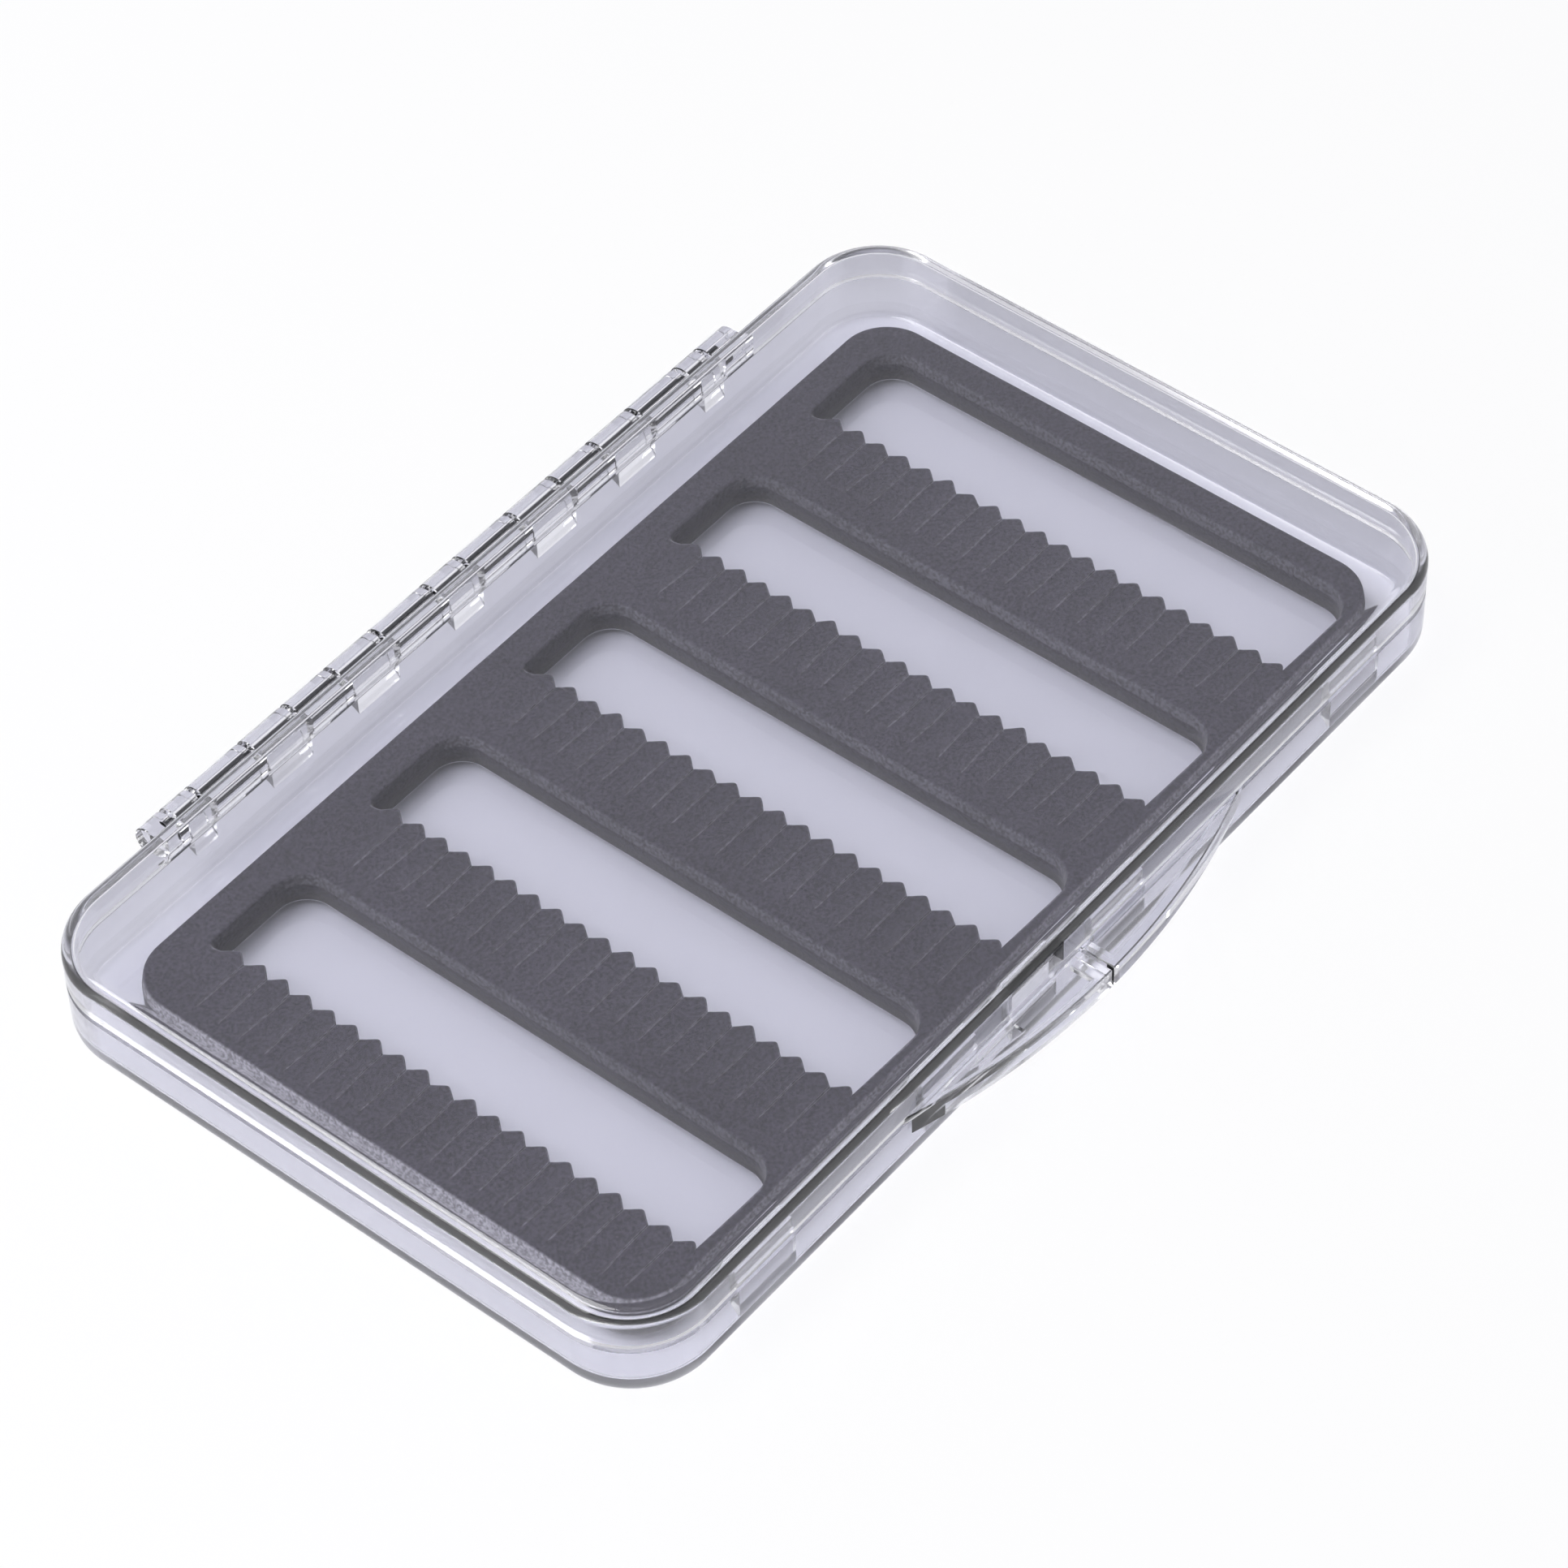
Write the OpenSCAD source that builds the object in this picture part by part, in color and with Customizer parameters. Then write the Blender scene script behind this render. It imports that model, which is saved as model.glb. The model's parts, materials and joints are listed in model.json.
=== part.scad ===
// Slim clear case for fishing flies: a shallow base and a shallow lid joined by
// a row of interleaved knuckles on one steel pin, a split pull tab with a snap
// catch on the opposite side, and a slit foam insert stuck to the base floor.
// Millimetres. +X runs along the hinge, +Y points to the hinge side, +Z is up,
// and the case lies on Z = 0 with its plan centre on the Z axis.

/* [Case] */
// Length of the case over its two end walls
case_length = 150; // [140:1:200]
// Width of the case from the latch wall to the hinge wall
case_width = 90; // [84:1:120]
// Height of the base, from the table to the parting line
base_height = 8.3; // [8:0.1:14]
// Height of the lid above the parting line
lid_height = 5.8; // [5.6:0.1:14]
// Hairline gap between the closed lid and the base
parting_gap = 0.1; // [0.05:0.05:0.2]
// Radius of the case's four corners in plan
corner_radius = 10.5; // [8:0.5:16]
// Thickness of the side walls and of the lid's top
wall = 1.5; // [1.2:0.1:2]
// Thickness of the base floor
floor_thickness = 2; // [1.4:0.1:3]
// Outside radius along the top edge of the lid
lid_edge_radius = 2; // [1.8:0.1:4]
// Outside radius along the bottom edge of the base
base_edge_radius = 2.5; // [1.8:0.1:4]
// Chamfer on the outside of both rims at the parting line
rim_chamfer = 0.35; // [0.1:0.05:0.6]

/* [Hinge] */
// Diameter of the steel hinge pin
pin_diameter = 1.2; // [1:0.1:1.6]
// Radial clearance where the lid turns on the pin
pin_clearance = 0.06; // [0.03:0.01:0.1]
// Radial clearance where the base holds the pin
pin_grip = 0.02; // [0.01:0.01:0.03]
// Outside radius of the hinge knuckles
knuckle_radius = 2.1; // [1.9:0.1:2.6]
// Gap between a knuckle and the wall of the other shell
knuckle_wall_gap = 0.4; // [0.3:0.1:0.8]
// Gap between one knuckle and the next
knuckle_gap = 0.5; // [0.3:0.1:0.8]
// Height of the pin's axis above the parting line
pin_rise = 0.6; // [0.5:0.1:1.4]
// How far the middle of the knuckle row sits off the middle of the wall
row_shift = -1.2; // [-2:0.1:2]
// Distances from the row's middle at which one knuckle gives way to the next
knuckle_joints = [2.9, 12.1, 19.8, 27.2, 34.5, 43.4, 47.6];
// Reach of the row from its middle to its blind end at the left
blind_reach = 51.2; // [49.5:0.1:56]
// Reach of the row from its middle to its open end at the right
open_reach = 53.1; // [51:0.1:56]
// How far the pin reaches into the blind knuckle at the left
pin_seat_depth = 1; // [0.6:0.1:1.4]
// How far the pin's other end stays inside the open knuckle at the right
pin_recess = 3; // [1:0.1:3]
// Drop from the parting line to the foot of the base's knuckle brackets
bracket_drop = 3.3; // [2.5:0.1:4]

/* [Latch] */
// Width of the pull tab where it leaves the wall
tab_span = 62; // [40:1:90]
// How far the tab stands out at its middle
tab_reach = 5; // [4:0.1:7]
// Height of the tab's rim above the parting line
tab_rise = 0.9; // [0.8:0.1:2.4]
// Depth of the tab's rim below the parting line
tab_drop = 2.3; // [1.8:0.1:3.5]
// Thickness of the tab's plates and rim
tab_thickness = 1.4; // [1:0.1:1.5]
// Width of the flat web beside the seam, on the lid's half of the tab
tab_web = 13; // [8:0.5:20]
// Depth of the groove behind the rim, on the lid's half
groove_depth = 0.6; // [0.3:0.1:0.7]
// Width of the flat ledge between the groove and the wall
groove_ledge = 1.3; // [0.8:0.1:2]
// Gap of the seam between the lid's half and the base's half of the tab
tab_seam = 0.4; // [0.3:0.05:0.8]
// Gap between each half of the tab and the wall of the other shell
tab_clearance = 0.3; // [0.2:0.05:0.5]
// Distance of the catch from the middle, towards the lid's half of the tab
catch_offset = 7.2; // [6:0.1:20]
// Width of the catch
catch_width = 8; // [6:0.1:10]
// Thickness of the catch's springy tongue
catch_thickness = 1.1; // [0.8:0.1:1.4]
// Gap between the tongues and the inside of the lid's wall
tongue_clearance = 0.4; // [0.25:0.05:0.6]
// Gap between the nib, drawn flexed back as the lid passes it, and the wall
nib_clearance = 0.1; // [0.05:0.05:0.2]
// Height of the nib
nib_height = 1.8; // [1.2:0.1:2.2]
// Play between the nib and the sill of the window
nib_play = 0.2; // [0.1:0.05:0.4]
// Play round the catch in the window, at each end
window_margin = 0.7; // [0.4:0.1:1.2]
// Height of the window in the lid's wall
window_height = 3.2; // [2.4:0.1:3.4]

/* [Locating tongues] */
// Places of the tongues along the latch wall, from the middle
tongue_places = [-54, -22, 8.5, 54];
// Width of one tongue
tongue_width = 9.5; // [5:0.1:11]
// Thickness of one tongue
tongue_thickness = 0.9; // [0.6:0.1:1.2]
// Height of a tongue above the parting line
tongue_rise = 1.6; // [1:0.1:2.5]

/* [Foam insert] */
// Average gap between the foam and the walls
foam_inset = 5.1; // [4:0.1:8]
// How far the glued insert sits off the middle, along and across the case
foam_shift = [0.3, -0.5];
// Thickness of the foam
foam_thickness = 4.1; // [3:0.1:4.8]
// Thickness of the adhesive film under the foam
film_thickness = 0.1; // [0.05:0.05:0.2]
// Radius of the foam's corners in plan
foam_corner_radius = 6.5; // [3:0.1:9]
// Number of wells
well_count = 5; // [2:1:6]
// Width of a well, from its straight edge to the tips of its comb
well_width = 13.5; // [9:0.1:14]
// Width of the first slit bar, at the left end of the insert
end_bar = 11.6; // [9:0.1:14]
// Width of the plain bar at the right end of the insert
far_bar = 4.4; // [3:0.1:8]
// Width of the plain bar along the hinge side
hinge_bar = 4.8; // [3:0.1:8]
// Width of the thin bar along the latch side
latch_bar = 1.7; // [1:0.1:4]
// Radius of a well's corners at its straight edge
well_radius = 4; // [1.5:0.1:4.4]
// Radius of a well's corners beside the comb
comb_corner_radius = 0.9; // [0.5:0.1:1]

/* [Comb and slits] */
// Spacing of the teeth along a comb
tooth_pitch = 3.48; // [2.5:0.01:5]
// Height of a tooth
tooth_depth = 1.3; // [0.8:0.1:2]
// Flat at the tip of a tooth
tooth_tip = 0.5; // [0.2:0.1:0.9]
// Distance from the hinge end of a well to the foot of the first tooth
comb_start = 1.6; // [1:0.1:4]
// Length of a slit, from the foot of the teeth into the bar
slit_length = 8.6; // [4:0.1:9]
// Width of a slit
slit_width = 0.25; // [0.15:0.05:0.4]
// Depth of a slit below the face of the foam
slit_depth = 2.8; // [1.5:0.1:3]

/* [Hidden] */

$fn = 72;
// Small overlap that lets joined features fuse, and cuts run clear of a face
bite = 0.2;

case_height = base_height + parting_gap + lid_height;
lid_foot = base_height + parting_gap;

hinge_wall_y = case_width / 2;
latch_wall_y = -case_width / 2;
pin_y = hinge_wall_y + knuckle_wall_gap + knuckle_radius;
pin_z = base_height + pin_rise;
blind_joint = knuckle_joints[len(knuckle_joints) - 1];
row_start = row_shift - blind_reach;
row_end = row_shift + open_reach;
pin_start = row_shift - blind_joint - pin_seat_depth;
pin_end = row_end - pin_recess;

tab_radius = (pow(tab_span / 2, 2) + pow(tab_reach, 2)) / (2 * tab_reach);
tab_top = base_height + tab_rise;
tab_foot = base_height - tab_drop;

tongue_face_y = latch_wall_y + wall + tongue_clearance;
nib_face_y = latch_wall_y + wall + nib_clearance;
nib_foot = tab_top + nib_play;

foam_length = case_length - 2 * (wall + foam_inset);
foam_width = case_width - 2 * (wall + foam_inset);
foam_floor = floor_thickness + film_thickness;
well_length = foam_width - hinge_bar - latch_bar;
well_top_y = foam_width / 2 - hinge_bar;
well_pitch = (foam_length - end_bar - far_bar - well_width) / (well_count - 1);
tooth_count = round((well_length - comb_start) / tooth_pitch);

// ---- Shared shapes ------------------------------------------------------

// A block with rounded corners in plan, whose edge follows the 2D section
// given as its child. The section runs from the corner's axis at x = 0 to the
// outside of the wall at x = radius, and is as tall as the block at x = 0.
module swept_block(length, width, radius, height) {
    straight_x = length - 2 * radius;
    straight_y = width - 2 * radius;
    translate([-straight_x / 2, -straight_y / 2, 0])
        cube([straight_x, straight_y, height]);
    for (turn = [0, 180]) {
        rotate([0, 0, turn])
            translate([-straight_x / 2, straight_y / 2, 0])
                rotate([90, 0, 90])
                    linear_extrude(straight_x) children();
        rotate([0, 0, turn])
            translate([straight_x / 2, straight_y / 2, 0])
                rotate([90, 0, 0])
                    linear_extrude(straight_y) children();
    }
    for (corner = [[1, 1, 0], [-1, 1, 90], [-1, -1, 180], [1, -1, 270]])
        translate([corner[0] * straight_x / 2, corner[1] * straight_y / 2, 0])
            rotate([0, 0, corner[2]])
                rotate_extrude(angle = 90) children();
}

// Section with a rounded upper outer edge and a chamfered lower outer edge
module edge_section(reach, height, edge_radius, chamfer) {
    difference() {
        union() {
            square([reach, height - edge_radius]);
            square([reach - edge_radius, height]);
            translate([reach - edge_radius, height - edge_radius])
                circle(edge_radius);
        }
        polygon([
            [reach - chamfer, 0],
            [reach, chamfer],
            [reach + bite, chamfer],
            [reach + bite, -bite],
            [reach - chamfer, -bite]
        ]);
    }
}

// Half of a shell: a solid block with a smaller one taken out of its open side
module shell(height, edge_radius, cap_thickness) {
    inner_edge = max(edge_radius - wall, 0.5);
    difference() {
        swept_block(case_length, case_width, corner_radius, height)
            edge_section(corner_radius, height, edge_radius, rim_chamfer);
        translate([0, 0, -bite])
            swept_block(case_length - 2 * wall, case_width - 2 * wall,
                        corner_radius - wall, height - cap_thickness + bite)
                edge_section(corner_radius - wall, height - cap_thickness + bite,
                             inner_edge, 0);
    }
}

// Flat outline with four rounded corners, centred on the origin
module rounded_outline(length, width, radius) {
    square([length - 2 * radius, width], center = true);
    square([length, width - 2 * radius], center = true);
    for (side_x = [-1, 1], side_y = [-1, 1])
        translate([side_x * (length / 2 - radius), side_y * (width / 2 - radius)])
            circle(radius);
}

// A profile drawn in the YZ plane and drawn out along X from one place to another
module along_x(start, end) {
    translate([start, 0, 0])
        rotate([90, 0, 90])
            linear_extrude(end - start) children();
}

// ---- Hinge --------------------------------------------------------------

// Draws its children's profile for every knuckle of one shell. The middle
// knuckle belongs to the base, and the shells take turns from there outwards.
module knuckle_row(first) {
    half_gap = knuckle_gap / 2;
    translate([row_shift, 0, 0])
        for (i = [first : 2 : len(knuckle_joints)]) {
            inner = i == 0 ? -knuckle_joints[0] : knuckle_joints[i - 1];
            is_end = i == len(knuckle_joints);
            along_x(inner + half_gap, is_end ? open_reach : knuckle_joints[i] - half_gap)
                children();
            if (i > 0)
                along_x(is_end ? -blind_reach : half_gap - knuckle_joints[i], -inner - half_gap)
                    children();
        }
}

// The lid's knuckle hangs from a flat web that leaves the wall below the
// rounded edge and runs level with the top of the barrel.
module lid_knuckle_profile() {
    translate([pin_y, pin_z]) circle(knuckle_radius);
    translate([hinge_wall_y - wall / 2, lid_foot])
        square([pin_y - hinge_wall_y + wall / 2, pin_z + knuckle_radius - lid_foot]);
}

// The base's knuckle sits on a bracket whose underside slopes from the wall
// and meets the barrel at a tangent.
module base_knuckle_profile() {
    foot = [hinge_wall_y, base_height - bracket_drop];
    reach = foot - [pin_y, pin_z];
    tangent = atan2(reach[1], reach[0]) + 360 + acos(knuckle_radius / norm(reach));
    translate([pin_y, pin_z]) circle(knuckle_radius);
    polygon([
        [hinge_wall_y - wall / 2, foot[1]],
        foot,
        [pin_y, pin_z] + knuckle_radius * [cos(tangent), sin(tangent)],
        [pin_y, pin_z],
        [pin_y - knuckle_radius, base_height],
        [hinge_wall_y - wall / 2, base_height]
    ]);
}

module pin_bore(start, end, clearance) {
    translate([start, pin_y, pin_z])
        rotate([0, 90, 0])
            cylinder(h = end - start, r = pin_diameter / 2 + clearance);
}

// ---- Pull tab -----------------------------------------------------------

// Plan of the whole tab: the slice that a large circle cuts in front of the
// latch wall, or an inner line that runs parallel to its arc.
module tab_plan(inward = 0) {
    intersection() {
        translate([0, latch_wall_y - tab_reach + tab_radius])
            circle(tab_radius - inward, $fn = 360);
        translate([-tab_span, latch_wall_y - 2 * tab_reach])
            square([2 * tab_span, 2 * tab_reach + wall / 2]);
    }
}

// Plan of one half of the tab: side is -1 for the half on -X, 1 for +X
module tab_half_plan(side) {
    intersection() {
        tab_plan();
        translate([side < 0 ? -tab_span : tab_seam / 2, latch_wall_y - 2 * tab_reach])
            square([tab_span - tab_seam / 2, 3 * tab_reach]);
    }
}

// Plan of the hollow behind the tab's rim, starting at a distance from the
// seam and ending at a distance from the face of the latch wall
module tab_hollow_plan(side, from_seam, from_wall = 0) {
    intersection() {
        tab_plan(tab_thickness);
        translate([side < 0 ? -tab_span : from_seam, latch_wall_y - 2 * tab_reach])
            square([tab_span - from_seam, 2 * tab_reach - from_wall]);
    }
}

// Space that each half leaves in front of the other shell's wall
module tab_relief(foot, top) {
    translate([-tab_span, latch_wall_y - tab_clearance, foot])
        cube([2 * tab_span, 2 * wall, top - foot]);
}

// The base's half: a plate at the foot of an upright rim
module base_tab() {
    difference() {
        translate([0, 0, tab_foot])
            linear_extrude(tab_top - tab_foot) tab_half_plan(1);
        translate([0, 0, tab_foot + tab_thickness])
            linear_extrude(tab_top - tab_foot)
                tab_hollow_plan(1, tab_seam / 2 + tab_thickness);
        tab_relief(base_height, tab_top + bite);
    }
}

// The lid's half: a web beside the seam, and a groove behind the rest of the rim
module lid_tab() {
    difference() {
        translate([0, 0, tab_foot])
            linear_extrude(tab_top - tab_foot) tab_half_plan(-1);
        translate([0, 0, tab_top - groove_depth])
            linear_extrude(groove_depth + bite)
                tab_hollow_plan(-1, tab_web, groove_ledge);
        translate([0, 0, tab_foot - bite])
            linear_extrude(tab_top - groove_depth - tab_thickness - tab_foot + bite)
                tab_hollow_plan(-1, tab_seam / 2 + tab_thickness);
        tab_relief(tab_foot - bite, lid_foot);
    }
}

// ---- Nodes --------------------------------------------------------------

// Tongue that stands on the inside of the latch wall and reaches up behind
// the wall of the closed lid. Its foot tapers into the base's wall.
module wall_tongue(place, width, thickness, top) {
    along_x(place - width / 2, place + width / 2)
        polygon([
            [latch_wall_y + wall - bite, floor_thickness],
            [latch_wall_y + wall, floor_thickness],
            [tongue_face_y + thickness, floor_thickness + 2 * thickness],
            [tongue_face_y + thickness, top],
            [tongue_face_y, top],
            [tongue_face_y, base_height],
            [latch_wall_y + wall - bite, base_height]
        ]);
}

// Springy tongue with a nib that snaps over the sill of the lid's window
module snap_catch() {
    nib_top = nib_foot + nib_height;
    wall_tongue(-catch_offset, catch_width, catch_thickness, nib_top);
    along_x(-catch_offset - catch_width / 2, -catch_offset + catch_width / 2)
        polygon([
            [tongue_face_y + bite, nib_foot],
            [nib_face_y, nib_foot],
            [nib_face_y, nib_foot + nib_height / 3],
            [tongue_face_y, nib_top],
            [tongue_face_y + bite, nib_top]
        ]);
}

module base() {
    color([0.86, 0.87, 0.9, 0.5])
        difference() {
            union() {
                translate([0, 0, base_height])
                    mirror([0, 0, 1])
                        shell(base_height, base_edge_radius, floor_thickness);
                knuckle_row(0) base_knuckle_profile();
                base_tab();
                snap_catch();
                for (place = tongue_places)
                    wall_tongue(place, tongue_width, tongue_thickness,
                                base_height + tongue_rise);
            }
            pin_bore(row_start, row_end, pin_grip);
        }
}

module lid() {
    window_width = catch_width + 2 * window_margin;
    color([0.9, 0.91, 0.94, 0.4])
        difference() {
            union() {
                translate([0, 0, lid_foot])
                    shell(lid_height, lid_edge_radius, wall);
                knuckle_row(1) lid_knuckle_profile();
                lid_tab();
            }
            pin_bore(pin_start, row_end + bite, pin_clearance);
            translate([-catch_offset - window_width / 2, latch_wall_y - bite, tab_top])
                cube([window_width, 2 * wall, window_height]);
        }
}

module hinge_pin() {
    color([0.72, 0.73, 0.75])
        translate([pin_start, pin_y, pin_z])
            rotate([0, 90, 0])
                cylinder(h = pin_end - pin_start, d = pin_diameter);
}

// Plan of one tooth, its foot on x = 0 and its tip towards +X
module tooth_plan() {
    polygon([
        [-bite, -tooth_pitch / 2],
        [0, -tooth_pitch / 2],
        [tooth_depth, -tooth_tip / 2],
        [tooth_depth, tooth_tip / 2],
        [0, tooth_pitch / 2],
        [-bite, tooth_pitch / 2]
    ]);
}

// Plan of one well, with the foot of its comb on x = 0 and its hinge end on
// y = 0. The corners at the straight edge are rounder than those by the comb.
module well_plan() {
    width = well_width + tooth_depth;
    for (end = [0, -well_length]) {
        inward = end == 0 ? -1 : 1;
        translate([width - well_radius, end + inward * well_radius]) circle(well_radius);
        translate([comb_corner_radius, end + inward * comb_corner_radius])
            circle(comb_corner_radius);
    }
    translate([comb_corner_radius, -well_length])
        square([width - comb_corner_radius - well_radius, well_length]);
    translate([0, -well_length + comb_corner_radius])
        square([comb_corner_radius, well_length - 2 * comb_corner_radius]);
    translate([width - well_radius, -well_length + well_radius])
        square([well_radius, well_length - 2 * well_radius]);
}

// Draws its children at the comb's foot and hinge end of every well
module at_each_well() {
    for (i = [0 : well_count - 1])
        translate([-foam_length / 2 + end_bar - tooth_depth + i * well_pitch, well_top_y])
            children();
}

// Plan of the insert: the wells are cut out and their combs are left standing
module insert_plan() {
    difference() {
        rounded_outline(foam_length, foam_width, foam_corner_radius);
        at_each_well() well_plan();
    }
    at_each_well()
        for (k = [0.5 : tooth_count])
            translate([0, -comb_start - k * tooth_pitch])
                tooth_plan();
}

module slit_foam() {
    color([0.33, 0.32, 0.37])
        translate([foam_shift[0], foam_shift[1], foam_floor])
            difference() {
                linear_extrude(foam_thickness) insert_plan();
                at_each_well()
                    for (k = [1 : tooth_count - 1])
                        translate([-slit_length, -comb_start - k * tooth_pitch - slit_width / 2,
                                   foam_thickness - slit_depth])
                            cube([slit_length + bite, slit_width, slit_depth + bite]);
            }
}

// The film is die-cut together with the foam, so it has the same plan
module adhesive_film() {
    color([0.8, 0.8, 0.85])
        translate([foam_shift[0], foam_shift[1], floor_thickness])
            linear_extrude(film_thickness) insert_plan();
}

base();
lid();
hinge_pin();
slit_foam();
adhesive_film();
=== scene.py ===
"""Looks for a slim clear fly box: two clear mouldings on a hinge pin, and a slit foam insert.

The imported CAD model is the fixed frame, in metres. The pin and the film keep their CAD meshes
and get their finishes here. The two clear shells are made again with finer curves, and the foam
with its soft edges and closed cuts. The sizes in the classes are millimetres.
"""

import json
import logging
import math
from dataclasses import dataclass, field
from enum import Enum
from typing import Any, Iterable

import bmesh
import bpy
import numpy as np
from mathutils import Matrix, Vector
from mathutils.geometry import delaunay_2d_cdt

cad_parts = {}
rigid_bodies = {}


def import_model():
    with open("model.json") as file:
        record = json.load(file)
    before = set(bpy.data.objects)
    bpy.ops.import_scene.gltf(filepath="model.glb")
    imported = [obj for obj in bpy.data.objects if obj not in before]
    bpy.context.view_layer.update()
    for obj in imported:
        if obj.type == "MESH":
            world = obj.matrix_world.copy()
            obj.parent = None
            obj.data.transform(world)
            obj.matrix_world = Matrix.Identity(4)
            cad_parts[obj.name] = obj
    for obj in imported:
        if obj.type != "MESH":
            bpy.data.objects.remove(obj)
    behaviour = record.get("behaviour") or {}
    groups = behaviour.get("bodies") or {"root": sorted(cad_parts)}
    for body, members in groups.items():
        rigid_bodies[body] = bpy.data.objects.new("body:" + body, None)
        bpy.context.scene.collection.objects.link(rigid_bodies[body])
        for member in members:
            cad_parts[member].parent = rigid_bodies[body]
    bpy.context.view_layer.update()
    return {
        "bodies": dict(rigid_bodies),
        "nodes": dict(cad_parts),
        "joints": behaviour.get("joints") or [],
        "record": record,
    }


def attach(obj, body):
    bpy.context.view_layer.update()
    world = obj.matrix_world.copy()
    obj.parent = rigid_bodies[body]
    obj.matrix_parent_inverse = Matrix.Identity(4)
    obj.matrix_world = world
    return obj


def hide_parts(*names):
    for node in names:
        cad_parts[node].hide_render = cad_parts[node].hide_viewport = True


LOG = logging.getLogger("fly_box")
MM = 0.001

Pair = tuple[float, float]
Colour = tuple[float, float, float]
Tree = bpy.types.NodeTree
Node = bpy.types.Node
Socket = bpy.types.NodeSocket
Piece = bpy.types.Object

WHITE: Colour = (1.0, 1.0, 1.0)
# Nearly all values of a noise lie in this range.
NOISE_RANGE: Pair = (0.3, 0.7)


class Ray(Enum):
    """The kinds of ray that a material can tell apart, by the name of their socket."""

    CAMERA = "Is Camera Ray"
    GLOSSY = "Is Glossy Ray"
    TRANSMISSION = "Is Transmission Ray"
    SHADOW = "Is Shadow Ray"


@dataclass(frozen=True)
class CaseSizes:
    """The case's sizes, as in the CAD source."""

    length: float = 150.0
    width: float = 90.0
    base_top: float = 8.3
    lid_foot: float = 8.4
    height: float = 14.2
    corner: float = 10.5
    wall: float = 1.5
    floor: float = 2.0
    lid_edge: float = 2.0
    base_edge: float = 2.5
    rim_chamfer: float = 0.35
    pin_y: float = 47.5
    pin_z: float = 8.9
    pin_radius: float = 0.6
    pin_clearance: float = 0.06
    pin_grip: float = 0.02
    pin_start: float = -49.8
    knuckle_radius: float = 2.1
    knuckle_gap: float = 0.5
    row_shift: float = -1.2
    knuckle_joints: tuple[float, ...] = (2.9, 12.1, 19.8, 27.2, 34.5, 43.4, 47.6)
    blind_reach: float = 51.2
    open_reach: float = 53.1
    bracket_drop: float = 3.3
    tab_span: float = 62.0
    tab_reach: float = 5.0
    tab_top: float = 9.2
    tab_foot: float = 6.0
    tab_thickness: float = 1.4
    tab_seam: float = 0.4
    tab_web: float = 13.0
    groove_depth: float = 0.6
    groove_ledge: float = 1.3
    tab_clearance: float = 0.3
    catch_offset: float = 7.2
    catch_width: float = 8.0
    catch_thickness: float = 1.1
    tongue_clearance: float = 0.4
    nib_clearance: float = 0.1
    nib_play: float = 0.2
    nib_height: float = 1.8
    window_margin: float = 0.7
    window_height: float = 3.2
    tongue_places: tuple[float, ...] = (-54.0, -22.0, 8.5, 54.0)
    tongue_width: float = 9.5
    tongue_thickness: float = 0.9
    tongue_rise: float = 1.6

    @property
    def latch_y(self) -> float:
        """The outer face of the latch wall."""
        return -self.width / 2

    @property
    def hinge_y(self) -> float:
        """The outer face of the hinge wall."""
        return self.width / 2

    @property
    def corner_centre(self) -> np.ndarray:
        """The centre of the corner arc on +X and +Y."""
        return np.array([self.length / 2 - self.corner, self.width / 2 - self.corner])

    @property
    def tab_radius(self) -> float:
        """Radius of the tab's outer arc, from its span and its reach."""
        return ((self.tab_span / 2) ** 2 + self.tab_reach ** 2) / (2 * self.tab_reach)


# ---- Node helpers -------------------------------------------------------------------------


def plug(tree: Tree, socket: Socket, value: Any) -> None:
    """Links a socket to an input, or sets the input to a value.

    Args:
        tree: The node tree.
        socket: The input.
        value: A socket, a number, a vector or a colour, whose alpha is 1.
    """
    if isinstance(value, bpy.types.NodeSocket):
        tree.links.new(value, socket)
    elif socket.type == "RGBA":
        socket.default_value = (*value, 1.0)
    else:
        socket.default_value = value


def add_node(tree: Tree, kind: str, **values: Any) -> Node:
    """Adds a shader node, sets its properties and plugs its inputs.

    Args:
        tree: The node tree.
        kind: The node's type name.
        **values: A property by its name, or an input as in_NAME or in_NUMBER, with _ for a space.

    Returns:
        The new node.
    """
    node = tree.nodes.new(kind)
    for name, value in values.items():
        if name.startswith("in_"):
            key = name[3:]
            plug(tree, node.inputs[int(key) if key.isdigit() else key.replace("_", " ")], value)
        else:
            setattr(node, name, value)
    return node


def math_node(tree: Tree, operation: str, *values: Any, clamp: bool = False) -> Socket:
    """Adds a Math node on sockets or numbers and gives its output."""
    slots = {f"in_{i}": value for i, value in enumerate(values)}
    return add_node(tree, "ShaderNodeMath", operation=operation, use_clamp=clamp, **slots).outputs[0]


def vector_node(tree: Tree, operation: str, *values: Any) -> Node:
    """Adds a Vector Math node on sockets or vectors."""
    slots = {f"in_{i}": value for i, value in enumerate(values)}
    return add_node(tree, "ShaderNodeVectorMath", operation=operation, **slots)


def ramp(tree: Tree, value: Socket, low: float, high: float, low_out: float = 0.0,
         high_out: float = 1.0) -> Socket:
    """Maps a value smoothly: low gives low_out, and high gives high_out.

    Args:
        tree: The node tree.
        value: The socket to map.
        low: The low end.
        high: The high end.
        low_out: The result at the low end.
        high_out: The result at the high end.

    Returns:
        The mapped value.
    """
    node = add_node(tree, "ShaderNodeMapRange", interpolation_type="SMOOTHSTEP", in_Value=value,
                    in_From_Min=low, in_From_Max=high, in_To_Min=low_out, in_To_Max=high_out)
    return node.outputs["Result"]


def mix_colour(tree: Tree, factor: Any, first: Any, second: Any) -> Socket:
    """Mixes two colours, each a socket or a colour: a factor of 0 gives the first."""
    return add_node(tree, "ShaderNodeMix", data_type="RGBA", in_0=factor, in_6=first,
                    in_7=second).outputs[2]


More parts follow.
